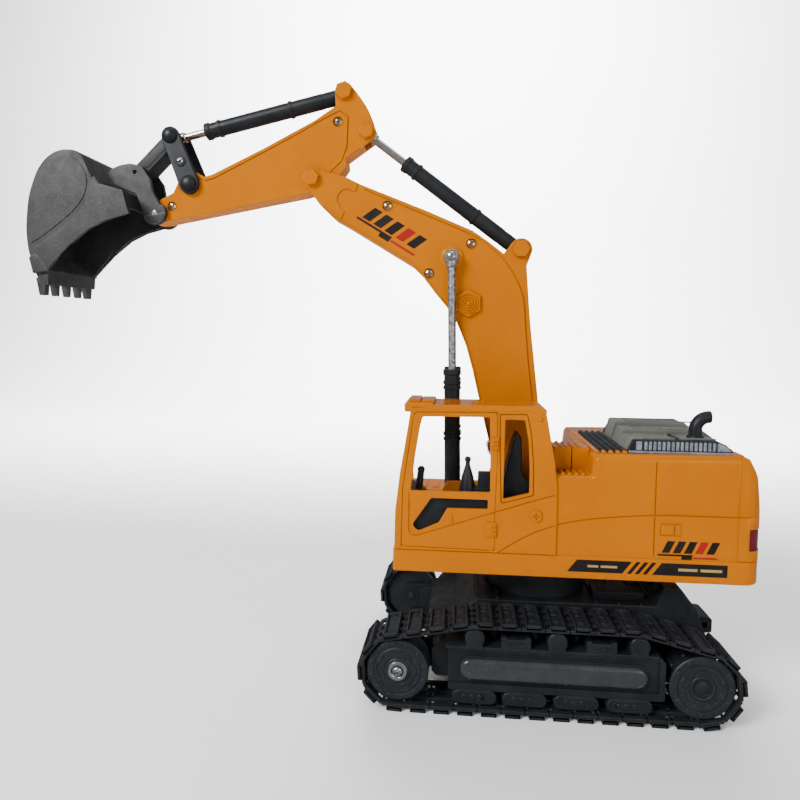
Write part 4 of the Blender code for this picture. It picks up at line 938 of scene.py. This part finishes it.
def make_cab():
    left, right = CAB_LEFT, CAB_RIGHT
    side = CAB_FRONT + CAB_BACK
    grow = -0.35
    frame_plate = plate(rounded(side, 0.4), left, left + 1.9, 0.35, holes=[DOOR, REAR_FRAME])
    door = plate(inset(DOOR, 0.5), left + 0.1, left + 1.9, 0.3, holes=[MAIN_WINDOW, LOWER_WINDOW])
    waist = [(-71.6, 113.9), (-71.5, 94.0), (-70.8, 92.0), (-69.0, 91.0), (-66.8, 91.2), (-50, 96.9),
             (-26.9, 104.8)]
    door = carved(door, groove(waist, left))
    tools = [groove([(-26.6, 104.9), (-12, 109.8), (3.6, 114.8), (6.6, 115.7)], left),
             groove([(-26.4, 81.9), *[p for p in WAIST if p[0] < 8.0]], left)]
    frame_plate = carved(frame_plate, *tools)
    backing = plate(inset(side, 0.3), left + 1.3, left + 2.1, 0.1,
                    holes=[inset(MAIN_WINDOW, grow), inset(LOWER_WINDOW, grow), inset(REAR_WINDOW, grow)])
    rear_rim = plate(inset(REAR_FRAME, 0.3), left - 0.25, left + 1.9, 0.4, holes=[REAR_WINDOW])
    parts = [frame_plate, door, backing, rear_rim]
    for low_x, high_x, low_z, high_z in ((-29.6, -25.4, 137.3, 144.2), (-31.4, -25.6, 91.6, 99.5)):
        parts.append(block((low_x, left - 0.6, low_z), (high_x, left + 1, high_z), 0.25))
        for k in range(3):
            z = low_z + (high_z - low_z) * (k + 0.75) / 3.5
            parts.append(rod((high_x - 2.7, left - 0.7, z), (high_x - 0.1, left - 0.7, z), 0.75, 0.3, 12))
    parts.append(block((-49.9, left - 0.5, 98.4), (-48.7, left + 1, 102.9), 0.25))
    parts.append(bump_head(-4.4, left, 154, size=1.35))
    lock = (-5.5, 103.7)
    cap = stud([(0, -1), (3.1, -1), (3.1, 0.6), (2.85, 0.95), (2.4, 1.05), (0, 1.1)], lock, left, -1, 28)
    cross = [block((lock[0] - a, left - 2, lock[1] - b), (lock[0] + a, left - 0.4, lock[1] + b), 0)
             for a, b in ((1.7, 0.42), (0.42, 1.7))]
    parts.append(carved(cap, *cross))

    # the wall towards the boom, the front pillars and the back
    far = rounded([(-72.4, 128), (-71.2, 112.4), (-65.7, 110.4), (-62.6, 107.4), (-55.6, 107.6), (-52.1, 113.5),
                   (-30, 113.8), (-28, 122), (-28, 154), (-65.6, 154)], 1.2)
    parts.append(plate(rounded(side, 0.4), right - 2, right, 0.35, holes=[far]))
    low_front = wall_strip(CAB_FRONT, 2.2, 83.3, 92)
    parts.append(plate(low_front, left + 0.4, right - 0.4, 0.3))
    parts.append(plate(wall_strip(CAB_FRONT, 2.2, 151.5, 158.4), left + 0.4, right - 0.4, 0.3))
    for y_low, y_high in ((left + 0.2, left + 4), (right - 4, right - 0.2)):
        parts.append(plate(wall_strip(CAB_FRONT, 2.4, 83.4, 158.3), y_low, y_high, 0.5, fineness=2))
    back = [(x - 2.2, z) for x, z in CAB_BACK]
    for y_low, y_high, z_low, z_high in ((left + 0.3, left + 6, 83.4, 158.3),
                                         (right - 6.5, right - 0.3, 83.4, 158.3),
                                         (left + 5, right - 5, 83.4, 124), (left + 5, right - 5, 150, 158.3)):
        parts.append(plate(wall_strip(back, 2.2, z_low, z_high), y_low, y_high, 0.3))
    piece("cab_walls", parts, ORANGE, "house", "cab_shell", flat=True)

    roof = plate(rounded([(-71.4, 157.6), (-71.6, 160.4), (-58.4, 160.6), (-3.2, 160.6), (-1.0, 158.6),
                          (-1.2, 157.0)],
                         [0, 0.5, 0, 1.4, 1.4, 0]),
                 left - 0.2, right + 0.2, 0.9, fineness=2)
    visor = plate(rounded([(-74.5, 156.6), (-74.7, 160.6), (-73.6, 161.5), (-60, 161.5), (-58.4, 160.2),
                           (-59.6, 159.6), (-69.6, 157.0), (-70.6, 156.4)], 0.5),
                  left - 0.2, right + 0.2, 0.7, fineness=2)
    slots = [slab(stadium(-29.7, -14.4, y - 1.0, y + 1.0), 159.6, 170, CRISP) for y in (-30, -34.4, -38.8)]
    patch = slab(rounded([(-10.4, -46), (-2.8, -46), (-2.8, -26), (-6.0, -26)], 0.8), 160.2, 170, CRISP)
    roof = carved(roof, *slots, patch)
    tops = [block((-72.6, y, 161.1), (-66.4, y + 10.4, 163.0), 0.4) for y in (-50.2, -38.6)]
    tops += [block((-65.6, y, 161.1), (-59.0, y + 10.4, 162.6), 0.4) for y in (-50.2, -38.6)]
    ribs = [block((x - 0.9, -44, 160.2), (x + 0.9, -37.4, 161.8), 0.45) for x in (-39.0, -36.2, -33.4)]
    slats = [rod((-29.2, y, 160.0), (-15, y, 160.0), 0.55, 0.2, 10) for y in (-32.2, -36.6)]
    knob = bump_head(-33.0, -34.0, 160.6, (0, 0, 1), size=1.2)
    piece("cab_roof", [roof, visor, *tops, *ribs, *slats, knob], ORANGE, "house")

    floor = block((-76, left + 2.4, 84), (2.4, right - 2.4, 88), 0.4)
    cone = turned([(0, 0), (6.8, 0), (6.6, 1), (4.7, 25), (3.1, 33.5), (1.3, 39.5), (1.2, 41.5), (0, 41.5)],
                  (-41, -43.0, 88), (0, 0, 1), 12)
    console = [cone, ball((-41, -43.0, 130.4), 1.75), block((-35.5, -46.5, 114), (-27.5, -40, 124.0), 0.8),
               block((-35, -46, 87), (-30, -40.5, 116), 0.6),
               block((-37.5, -46.8, 108), (-24.5, -39.6, 116), 0.7)]
    front = [block((-73.5, -48, 87), (-66.4, -28, 112.4), 0.8),
             block((-74, -49, 112), (-65.6, -27, 114.6), 0.6),
             rod((-67.4, -43, 111), (-66.0, -43, 123.2), 1.9, 0.5, 12), ball((-65.9, -43, 124.2), 2.1)]
    panel = plate(rounded([(-73.5, 88), (-73.5, 111), (-70, 113.4), (-29.5, 113.4), (-29.5, 88)], 1.0),
                  -50.2, -48.8, 0.3)
    pedals = [block((-62 + i * 6, -42, 88), (-58 + i * 6, -36, 92), 0.7) for i in range(2)]
    piece("cab_controls", [floor, *console, *front, panel, *pedals], BLACK, "house", "cab_interior")
    seat_back = plate(rounded([(-25.5, 104), (-24.6, 110), (-17.2, 141), (-15.2, 145.4), (-13.0, 143),
                               (-12.2, 124), (-8.2, 119), (-8.2, 104)], [0, 2, 2, 3, 2, 3, 1, 0]),
                      -45.5, -29.5, 1.2, fineness=3)
    cushion = plate(rounded([(-33, 100), (-33.4, 107), (-31, 110), (-12, 109), (-9, 105), (-9, 100)], 2),
                    -46, -29, 1.6, fineness=3)
    plinth = block((-30, -44, 88.3), (-10, -31, 101), 1.0)
    piece("seat", [seat_back, cushion, plinth], BLACK, "house", "operator_seat")


def make_house_rest():
    """The long box beside the boom and the boom's bracket."""
    box_view = rounded([(-79, 83.3), (-79, 96.2), (-77, 98), (5.2, 98), (5.2, 83.3)], [0, 1, 1, 0.6, 0])
    side_box = plate(box_view, 20.6, 52, 0.8, fineness=2)
    tools = [groove([(-75, 84), (-75, 95.4), (-40, 95.4), (-40, 84)], 52),
             groove([(-38, 84), (-38, 95.4), (-2, 95.4), (-2, 84)], 52)]
    side_box = carved(side_box, *tools)
    treads = [block((-70 + i * 8, 26, 97.8), (-66 + i * 8, 46, 98.6), 0.3) for i in range(8)]
    piece("side_box_body", [side_box, *treads], ORANGE, "house", "right_side_box")

    foot = BOOM_FOOT
    bracket = [block((-58, -18, 74.1), (4, 18, 77), 0.5),
               block((BARREL_FOOT[0] - 3, -8, 76), (BARREL_FOOT[0] + 3, 8, 85.5), 0.6),
               pin(BARREL_FOOT, 18, 1.5, 0.3, 16)]
    for _, side in SIDES:
        outline = [p for p in capsule((foot[0], 85), foot, 11, 9) if p[1] > 80]
        outline += [(foot[0] + 11, 76), (foot[0] - 11, 76)]
        centre = Vector((foot[0], 90))
        outline.sort(key=lambda p: math.atan2(p[1] - centre.y, p[0] - centre.x))
        bracket.append(plate(outline, *mirrored(9.9, 12.9, side), 0.5))
    piece("boom_mount", bracket, BLACK, "house", "boom_bracket")
    piece("boom_foot_bolt", [pin(foot, 13.2, 2.2, 0.4)], STEEL, "house", "boom_foot_pin")


# ---------------------------------------------------------------- arm

BOOM_HALF, STICK_HALF, BUCKET_HALF = 9.5, 7.0, 25.5     # half the width of each


def boom_outline():
    tip = arc(STICK_PIVOT, 5.4, 225, 75, 10)
    top = [(-115, 288), (-105.5, 283.3), (-66, 267.6), (-40, 256.4), (-31, 250.2), (-22.2, 243.4)]
    ears = arc(STICK_FOOT, 6.4, 150, -15, 10)
    back = smooth_line([(-9, 236.5), (-6.4, 206), (-3.5, 182), (-1, 161.5)], 3)
    foot = arc(BOOM_FOOT, 12, 8, -172, 14)
    belly = [(-28.2, 133.5), (-35, 160.8), (-38.6, 176), (-42.8, 190.6), (-48.3, 203.7), (-54.6, 213.2),
             (-62, 222), (-69, 231), (-74.7, 236.5), (-114.9, 260.6), (-121.5, 264.2), (-129, 271.4)]
    return tip + top + ears + back + foot + belly


def make_boom():
    outline, half = boom_outline(), BOOM_HALF
    top_line = smooth_line([(-102.7, 280.0), (-72.8, 267.6), (-40.2, 253.8), (-29.9, 247.2), (-21.3, 238.9),
                            (-14.6, 228.8), (-10.2, 217.5), (-9.0, 204), (-6.9, 182), (-4.6, 164), (-2.5, 146)],
                           3)
    belly_line = [(-126.5, 270.6), (-120.4, 265.3), (-74.0, 237.6), (-68.2, 231.8), (-61.2, 222.6),
                  (-53.7, 213.6), (-47.3, 204.0), (-41.7, 190.8), (-37.5, 176.2), (-34.0, 160.8), (-27.3, 134)]
    screws = ((-89.3, 270.7), (-40.7, 249.0), (-64.7, 232.0), (-26, 130))
    tools = [pin(STICK_PIVOT, 7.3, 24.8, CRISP, 48), pin(STICK_FOOT, 4.8, 9.4, CRISP, 36)]
    notch = [(-106.1, 285), (-107.9, 278.9), (-109.3, 278.8), (-112.9, 280.5), (-116.2, 279.6), (-118.4, 276.6),
             (-118.7, 273.4), (-116.6, 269.6), (-114.4, 267.6), (-117.2, 261.6)]
    badge = (-42.0, 215.0)
    for label, side in SIDES:
        y = side * half
        shell = plate(outline, *mirrored(0.06, half, side), 0.45, fineness=2)
        wells = [across((x, z), y + side, y - side * 1.3, 3.2, 0.05, 24) for x, z in screws]
        shell = carved(shell, *tools, groove(top_line, y, 0.7, 0.8), groove(belly_line, y, 0.5),
                       groove(notch, y, 0.6), *wells)
        rings = [stud([(0, -0.5), (8.4, -0.5), (8.4, 1.4), (7.9, 1.9), (0, 1.9)], badge, y, side, 6,
                      math.radians(30)),
                 stud([(0, -0.5), (5.9, -0.5), (5.9, 2.4), (5.6, 2.7), (5.1, 2.7), (4.9, 1.95), (4.4, 1.95),
                       (4.2, 2.7), (3.6, 2.7), (3.4, 1.95), (2.9, 1.95), (2.7, 2.7), (2.2, 2.7), (2.0, 1.95),
                       (1.4, 1.95), (1.2, 2.7), (0, 2.8)], badge, y, side, 40),
                 stud([(1.6, -0.5), (7.2, -0.5), (7.0, 0.3), (6.2, 1.1), (5.0, 1.7), (1.6, 1.8)],
                      BOOM_EYE, y, side, 40)]
        cups = [stud([(2.9, -0.9), (2.9, 0.15), (3.15, 0.3), (3.4, 0.15), (3.4, -0.9)], screw, y, side, 24)
                for screw in screws]
        piece(f"boom_{label}_side", [shell, *rings, *cups], ORANGE, "boom", f"boom_{label}_shell")
    heads = [screw_head(x, side * (half - 0.95), z, (0, side, 0), 0.4 + x, 2.8)
             for _, side in SIDES for x, z in screws]
    piece("boom_screws", heads, STEEL, "boom")
    hexes = []
    for _, side in SIDES:
        nut, disc = [(0, -0.2), (5.0, -0.2), (5.0, 2.3), (4.5, 3.0), (0, 3.0)], [(0, -0.4), (6.0, -0.4),
                                                                                 (6.0, 0.2), (5.6, 0.5), (0,
                                                                                                          0.5)]
        hexes += [stud(nut, STICK_PIVOT, side * 9.8, side, 6, 0.2), stud(disc, STICK_PIVOT, side * 9.4, side)]
    piece("stick_bolt", [*hexes, pin(STICK_PIVOT, 9, 2)], ORANGE, "boom", "stick_pin", sharp=30)
    ends = [pin(STICK_FOOT, 9, 1.6)]
    ends += [stud([(0, -0.2), (5.1, -0.2), (5.1, 2.0), (4.6, 2.7), (0, 2.7)], STICK_FOOT, side * 9.6, side, 6)
             for _, side in SIDES]
    piece("stick_cylinder_foot_bolt", ends, ORANGE, "boom", "stick_cylinder_foot_pin", sharp=30)
    washer = [(0, 0), (3.1, 0), (3.1, 0.5), (0, 0.5)]
    cross_pin = [pin(BOOM_EYE, 17, 1.5)]
    cross_pin += [screw_head(BOOM_EYE[0], side * 17.6, BOOM_EYE[1], (0, side, 0), 0.3, 2.8)
                  for _, side in SIDES]
    cross_pin += [stud(washer, BOOM_EYE, side * 16.9, side, 28) for _, side in SIDES]
    piece("boom_cylinder_bolt", cross_pin, STEEL, "boom", "boom_cylinder_pin")
    make_marks("boom", "boom", half, math.radians(-31), (-87.8, 259.3), 1.85)


def make_cylinder(names, eye, foot, y, rod_size, barrel_size, bodies, nodes, rod_look):
    """A ram and its barrel, along the line from an eye to a foot.

    rod_size is (radius, length, eye radius, eye half width). barrel_size is (radius, mouth, end, the second
    collar's place between them, rings in a collar), measured from the eye.
    """
    radius, length, eye_radius, eye_half = rod_size
    barrel, mouth, end, second, rings = barrel_size
    along = Vector((foot[0] - eye[0], 0, foot[1] - eye[1])).normalized()
    start = Vector((eye[0], y, eye[1]))
    profile = [(0, 1), (radius * 1.5, 1), (radius * 1.5, 5.4), (radius * 1.35, 5.9), (radius, 6.1),
               (radius, length), (0, length)]
    head = [(0, -eye_half), (eye_radius - 0.4, -eye_half), (eye_radius, -eye_half + 0.4),
            (eye_radius, eye_half - 0.4), (eye_radius - 0.4, eye_half), (0, eye_half)]
    ram = [turned(profile, start, along, 28), turned(head, start, (0, 1, 0), 32)]
    piece(names[0], ram, rod_look, bodies[0], nodes[0])
    collar = barrel + 0.6
    profile = [(0, mouth + 1.2), (radius + 0.2, mouth + 1.2), (radius + 0.2, mouth), (collar - 0.5, mouth),
               (collar, mouth + 0.4), (collar, mouth + 2.8), (collar - 0.3, mouth + 3.2), (barrel, mouth + 3.6)]
    for middle in (mouth + 9, mouth + (end - mouth) * second):
        for offset in ((-1.5, 1.5) if rings == 2 else (0,)):
            profile += [(barrel, middle + offset - 1.1), (collar, middle + offset - 0.8),
                        (collar, middle + offset + 0.8), (barrel, middle + offset + 1.1)]
    profile += [(barrel, end - 10), (barrel - 0.2, end - 9.6), (barrel - 0.2, end - 8.6),
                (barrel - 0.1, end - 8.2), (barrel - 0.1, end - 0.5), (barrel - 0.6, end), (0, end)]
    piece(names[1], [turned(profile, start, along, 36)], BLACK, bodies[1], nodes[1], sharp=30)


def make_cylinders():
    for label, side in SIDES:
        make_cylinder((f"{label}_boom_ram", f"{label}_boom_cylinder"), BOOM_EYE, BARREL_FOOT, side * 14.6,
                      (2.2, 112, 4.2, 2.2), (4.6, 64, 152.8, 0.435, 2), ("boom_rods", "boom_barrels"),
                      (f"{label}_boom_rod", f"{label}_boom_barrel"), ZINC)
    make_cylinder(("stick_ram", "stick_cylinder"), STICK_EYE, STICK_FOOT, 0, (2.3, 84, 3.4, 2.4),
                  (4.5, 27.5, 108.2, 0.645, 1), ("stick_rod", "stick_barrel"),
                  ("stick_cylinder_rod", "stick_cylinder_barrel"), STEEL)
    make_cylinder(("bucket_ram", "bucket_cylinder"), ROCKER_TOP, BUCKET_FOOT, 0, (2.2, 80, 3.4, 2.4),
                  (4.5, 19, 102.4, 0.645, 1), ("bucket_rod", "bucket_barrel"),
                  ("bucket_cylinder_rod", "bucket_cylinder_barrel"), STEEL)


def stick_outline():
    ear = arc(BUCKET_FOOT, 5.5, 165, 40, 8)
    back = smooth_line([(-110.6, 339.0), (-107.3, 334.9), (-103.2, 329.2), (-100.3, 324.0), (-98.4, 318.3)], 3)
    tail = arc(STICK_EYE, 5.5, 10, -60, 6)
    heel = [(-114.2, 298.6), (-113.8, 294.5), (-117.5, 289.5), (-123.4, 283.2), (-137.8, 278.4),
            (-167.8, 272.9)]
    tip = arc(BUCKET_PIVOT, 6.2, 280, 100, 10)
    top = [(-224, 277.3), (-219.0, 279.8), (-215.3, 287.1), (-204.5, 291.8), (-199.9, 289.1), (-194.8, 290.4),
           (-163.6, 305), (-132.9, 320.5), (-120.5, 328.5)]
    return ear + back + tail + heel + tip + top


def make_stick():
    outline, half = stick_outline(), STICK_HALF
    screws = ((-119.1, 319.5), (-219.9, 271.8))
    tools = [pin((x, z), 4.8, radius, CRISP, 36)
             for (x, z), radius in ((BUCKET_FOOT, 12.4), (STICK_EYE, 7.9))]
    top_rim = [(-206, 289.4), (-199.0, 286.6), (-193.6, 288.0), (-162.8, 303.0), (-141.5, 313.6),
               (-130.7, 319.6), (-118.0, 325.6), (-112.9, 322.4), (-113.6, 305.4), (-116.8, 297.0),
               (-124.0, 290.2)]
    for label, side in SIDES:
        y = side * half
        shell = plate(outline, *mirrored(0.06, half, side), 0.4, fineness=2)
        wells = [across((x, z), y + side, y - side * 1.3, 3.0, 0.05, 24) for x, z in screws]
        shell = carved(shell, *tools, groove(top_rim, y, 0.7, 0.8), *wells)
        cups = [stud([(2.75, -0.9), (2.75, 0.15), (2.95, 0.3), (3.15, 0.15), (3.15, -0.9)], screw, y, side, 24)
                for screw in screws]
        piece(f"stick_{label}_side", [shell, *cups], ORANGE, "stick", f"stick_{label}_shell")
    heads = [screw_head(x, side * (half - 0.95), z, (0, side, 0), 0.7 + z, 2.65)
             for _, side in SIDES for x, z in screws]
    piece("stick_screws", heads, STEEL, "stick")
    for name, centre, radius in (("bucket_cylinder_foot", BUCKET_FOOT, 5.3),
                                 ("stick_cylinder_rod", STICK_EYE, 4.5)):
        nut = [(0, -0.3), (radius, -0.3), (radius, 1.9), (radius - 0.5, 2.6), (0, 2.6)]
        nuts = [stud(nut, centre, side * 7.2, side, 6, 0.3) for _, side in SIDES]
        piece(f"{name}_bolt", [pin(centre, 6.8, 1.6), *nuts], ORANGE, "stick", f"{name}_pin", sharp=30)
    piece("rocker_pivot_bolt", [pin(ROCKER_PIVOT, 8.6, 1.8)], STEEL, "stick", "rocker_pivot_pin")
    bucket_pin = [pin(BUCKET_PIVOT, 10, 1.9)]
    bucket_pin += [screw_head(BUCKET_PIVOT[0], side * 9.3, BUCKET_PIVOT[1], (0, side, 0), 0.5, 1.7)
                   for _, side in SIDES]
    piece("bucket_bolt", bucket_pin, STEEL, "stick", "bucket_pin")


def make_linkage():
    middle = (-212.8, 297.4)
    for label, side in SIDES:
        arm = plate(capsule(ROCKER_PIVOT, ROCKER_TOP, 6.0, 5.4), *mirrored(7.35, 10.2, side), 0.6, fineness=2)
        parts = [arm]
        for (x, z), radius in ((ROCKER_PIVOT, 5.0), (ROCKER_TOP, 4.7)):
            parts.append(stud([(0, -1), (radius, -1), (radius, 0.2), (radius - 0.5, 1.2), (radius - 1.8, 2.1),
                               (radius - 3.2, 2.5), (0, 2.6)], (x, z), side * 10.1, side))
        disc = [(0, -0.5), (3.2, -0.5), (3.2, 0.4), (2.8, 0.8), (0, 0.8)]
        parts.append(stud(disc, middle, side * 10.1, side, 28))
        piece(f"{label}_rocker_arm", parts, BLACK, "rocker", f"{label}_rocker")
    screws = [screw_head(middle[0], side * 10.9, middle[1], (0, side, 0), 0.4, 2.2) for _, side in SIDES]
    piece("rocker_screws", screws, STEEL, "rocker")
    piece("link_bolt", [pin(ROCKER_TOP, 8.6, 1.6)], STEEL, "rocker", "link_pin")
    top, low = Vector(ROCKER_TOP), Vector(EAR_HOLE)
    gap = plate(capsule(tuple(top), tuple(top.lerp(low, 0.22)), 6, 6), -3, 3, CRISP)
    link = carved(plate(capsule(tuple(top), tuple(low), 4.4, 4.4), -6.8, 6.8, 0.8, fineness=2), gap)
    web = capsule(tuple(top.lerp(low, 0.3)), tuple(top.lerp(low, 0.75)), 2.2, 2.2)
    webs = [plate(web, *mirrored(6.6, 7.1, side), 0.25) for _, side in SIDES]
    piece("h_link_body", [link, *webs], BLACK, "link", "h_link")


def make_bucket():
    back = [(-288.6, 231.5), (-297.7, 238.2), (-300.4, 252), (-299.9, 264.1), (-298.3, 275), (-295, 284.6),
            (-291.5, 291.5), (-286.2, 297.3), (-280, 300.6), (-273.2, 301.3), (-267.8, 300), (-264.2, 297),
            (-258.4, 287.1), (-254.8, 281.9), (-242.1, 278), (-237.1, 265.4)]
    mouth = [(-251.8, 260.6), (-262.4, 255.7), (-274.6, 246.1)]
    half = BUCKET_HALF
    outline = smooth_line(back[:12], 4) + rounded(back[12:] + mouth, 1.0, 2)
    body = plate(outline, -half, half, 0.9, fineness=2)
    inner = inset(back + mouth, 2.2)
    hollow = inner[1:len(back) - 1]
    hollow += [(hollow[-1][0] + 16, hollow[-1][1] - 24), (hollow[0][0] + 16, hollow[0][1] - 24)]
    body = carved(body, plate(rounded(hollow, 2.0, 3), -half + 2.2, half - 2.2, CRISP))
    panel_edge = smooth_line([(-298.2, 243.4), (-287.2, 249.8), (-276.0, 257.4), (-267.0, 265.4),
                              (-261.6, 273.0), (-259.4, 279.6), (-258.6, 284.6)], 4)
    cheek = [*panel_edge, (-254.8, 281.2), (-240.6, 277.6), (-236.9, 264.2), (-251.6, 260.2), (-262.2, 255.2),
             (-274.4, 245.6), (-288.4, 231.4), (-296.8, 237.6)]
    parts = [body]
    rim = inset(smooth_line([(-297.2, 246.2), (-299.6, 256), (-299.0, 268), (-296.2, 280), (-291.4, 289.6),
                             (-285.0, 296.2), (-277.6, 299.6), (-270.8, 298.8), (-265.6, 294.2),
                             (-261.6, 287.4), (-261.2, 280.6), (-264.2, 272.6), (-270.6, 265.0),
                             (-280.4, 257.2), (-290.2, 250.4)], 3), 0.9)
    for _, side in SIDES:
        parts.append(plate(cheek, *mirrored(half - 0.5, half + 1.1, side), 0.4))
        parts.append(plate(rim, *mirrored(half - 0.5, half + 0.55, side), 0.45, fineness=2))
    tooth_view = rounded([(-295.8, 228.0), (-293.9, 217.5), (-290.4, 217.5), (-289.4, 228.0)], 0.5)
    for y, wide in ((-22.4, 4.4), (-11.5, 3.1), (0, 3.1), (11.5, 3.1), (22.4, 4.4)):
        parts.append(plate(tooth_view, y - wide / 2, y + wide / 2, 0.5))
    blade = plate(rounded([(-297.2, 239.6), (-295.6, 230.4), (-292.4, 224.0), (-288.0, 223.8), (-287.4, 232.0),
                           (-292.6, 240.4)], 0.8), -half + 0.5, half - 0.5, 0.5)
    parts.append(blade)
    for _, side in SIDES:
        parts.append(plate(rounded([(-298.2, 239.4), (-295.9, 230.0), (-287.2, 231.4), (-289.4, 235.6),
                                    (-292.4, 239.8), (-294.4, 241.4)], 0.6),
                           *mirrored(half - 0.8, half + 1.5, side), 0.4))
    ear_view = rounded([(-258.6, 290.0), (-256.0, 293.6), (-250.4, 295.8), (-243.9, 296.8), (-236.8, 295.0),
                        (-231.8, 287.8), (-230.4, 280.4), (-226.0, 272.6),
                        *arc(BUCKET_PIVOT, 7.4, 35, -150, 10), (-236.4, 266.3), (-240.6, 278.6),
                        (-255.0, 284.4)], 1.2)
    for _, side in SIDES:
        hole = across(EAR_HOLE, side * 8.6, side * 12, 1.5, CRISP, 20)
        well = across(BUCKET_PIVOT, side * 9.0, side * 12, 2.1, CRISP, 24)
        parts.append(carved(plate(ear_view, *mirrored(7.4, 10.2, side), 0.5, fineness=2), hole, well))
        parts.append(plate(arc(BUCKET_PIVOT, 6.6, 200, 360, 12), *mirrored(9.6, 10.7, side), 0.4))
    piece("bucket_casting", parts, BUCKET, "bucket", "bucket", sharp=38)


# ---------------------------------------------------------------- CAD nodes that show as they are

def dress_rest():
    """Materials for the hidden nodes, which keep their CAD shapes."""
    plain = {"slew_ring": BLACK, "chassis_cover": BLACK, "left_drive_motor": MOTOR, "right_drive_motor": MOTOR,
             "battery_pack": MOTOR, "control_board": CIRCUIT, "boom_motor": MOTOR, "stick_motor": MOTOR}
    for node, look in plain.items():
        mesh = frame["nodes"][node].data
        mesh.materials.clear()
        mesh.materials.append(look)


# ---------------------------------------------------------------- floor, light and camera

def studio():
    """A pale sweep of paper under soft lamps."""
    half_width = 2.4
    bend = [math.pi / 2 * i / 12 for i in range(1, 13)]
    profile = [(-1.6, 0.0), (1.2, 0.0), *[(1.2 + 0.8 * math.sin(a), 0.8 - 0.8 * math.cos(a)) for a in bend],
               (2.0, 3.0)]
    work = bmesh.new()
    rows = [[work.verts.new((x, y, z)) for x in (-half_width, half_width)] for y, z in profile]
    for low, high in zip(rows, rows[1:]):
        work.faces.new((low[0], low[1], high[1], high[0]))
    floor = bpy.data.objects.new("floor", taken(work))
    floor.data.shade_smooth()
    bpy.context.scene.collection.objects.link(floor)
    floor.data.materials.append(surface("floor_paper", "floor", (0.93, 0.93, 0.93), (0.91, 0.91, 0.91),
                                        (0.75, 0.85), patch=3, grain=300, bump=0.02))
    floor.visible_glossy = False

    world = bpy.data.worlds.new("studio")
    bpy.context.scene.world = world
    world.use_nodes = True
    background = world.node_tree.nodes["Background"]
    background.inputs["Color"].default_value = (1, 1, 1, 1)
    background.inputs["Strength"].default_value = 0.3
    for name, place, aim, size, power in (("key", (-0.8, -1.0, 0.95), (0.0, 0, 0.15), 0.55, 31),
                                          ("fill", (0.9, -1.1, 0.5), (0.1, 0, 0.12), 0.9, 7),
                                          ("top", (0.1, 0.15, 1.4), (0.05, 0, 0.1), 1.0, 5),
                                          ("backdrop", (0.0, 0.9, 1.3), (0.0, 2.2, 0.6), 1.6, 190)):
        light = bpy.data.lights.new(name, "AREA")
        light.size, light.energy = size, power
        lamp = bpy.data.objects.new(name, light)
        lamp.location = place
        lamp.rotation_euler = (Vector(aim) - Vector(place)).to_track_quat("-Z", "Y").to_euler()
        bpy.context.scene.collection.objects.link(lamp)


def make_camera():
    """The photo's viewpoint, solved from the machine's known points."""
    yaw, pitch, roll = math.radians(5.274), math.radians(4.048), 0.0105
    forward = Vector((-math.sin(yaw) * math.cos(pitch), math.cos(yaw) * math.cos(pitch), -math.sin(pitch)))
    level = Vector((math.cos(yaw), math.sin(yaw), 0))
    up = level.cross(forward)
    right = level * math.cos(roll) + up * math.sin(roll)
    up = up * math.cos(roll) - level * math.sin(roll)
    data = bpy.data.cameras.new("camera")
    data.sensor_width, data.lens, data.shift_y = 36, 29.25, -0.0275
    data.clip_start = 0.01
    camera = bpy.data.objects.new("camera", data)
    turn = Matrix((right, up, -forward)).transposed()
    camera.matrix_world = Matrix.Translation(at(-46, -389, 198)) @ turn.to_4x4()
    bpy.context.scene.collection.objects.link(camera)
    bpy.context.scene.camera = camera


make_camera()
studio()
make_belts()
make_wheels()
make_track_frames()
make_chassis()
make_base()
make_rear()
make_weight()
make_hood()
make_exhaust()
make_cab()
make_house_rest()
make_boom()
make_cylinders()
make_stick()
make_linkage()
make_bucket()
dress_rest()
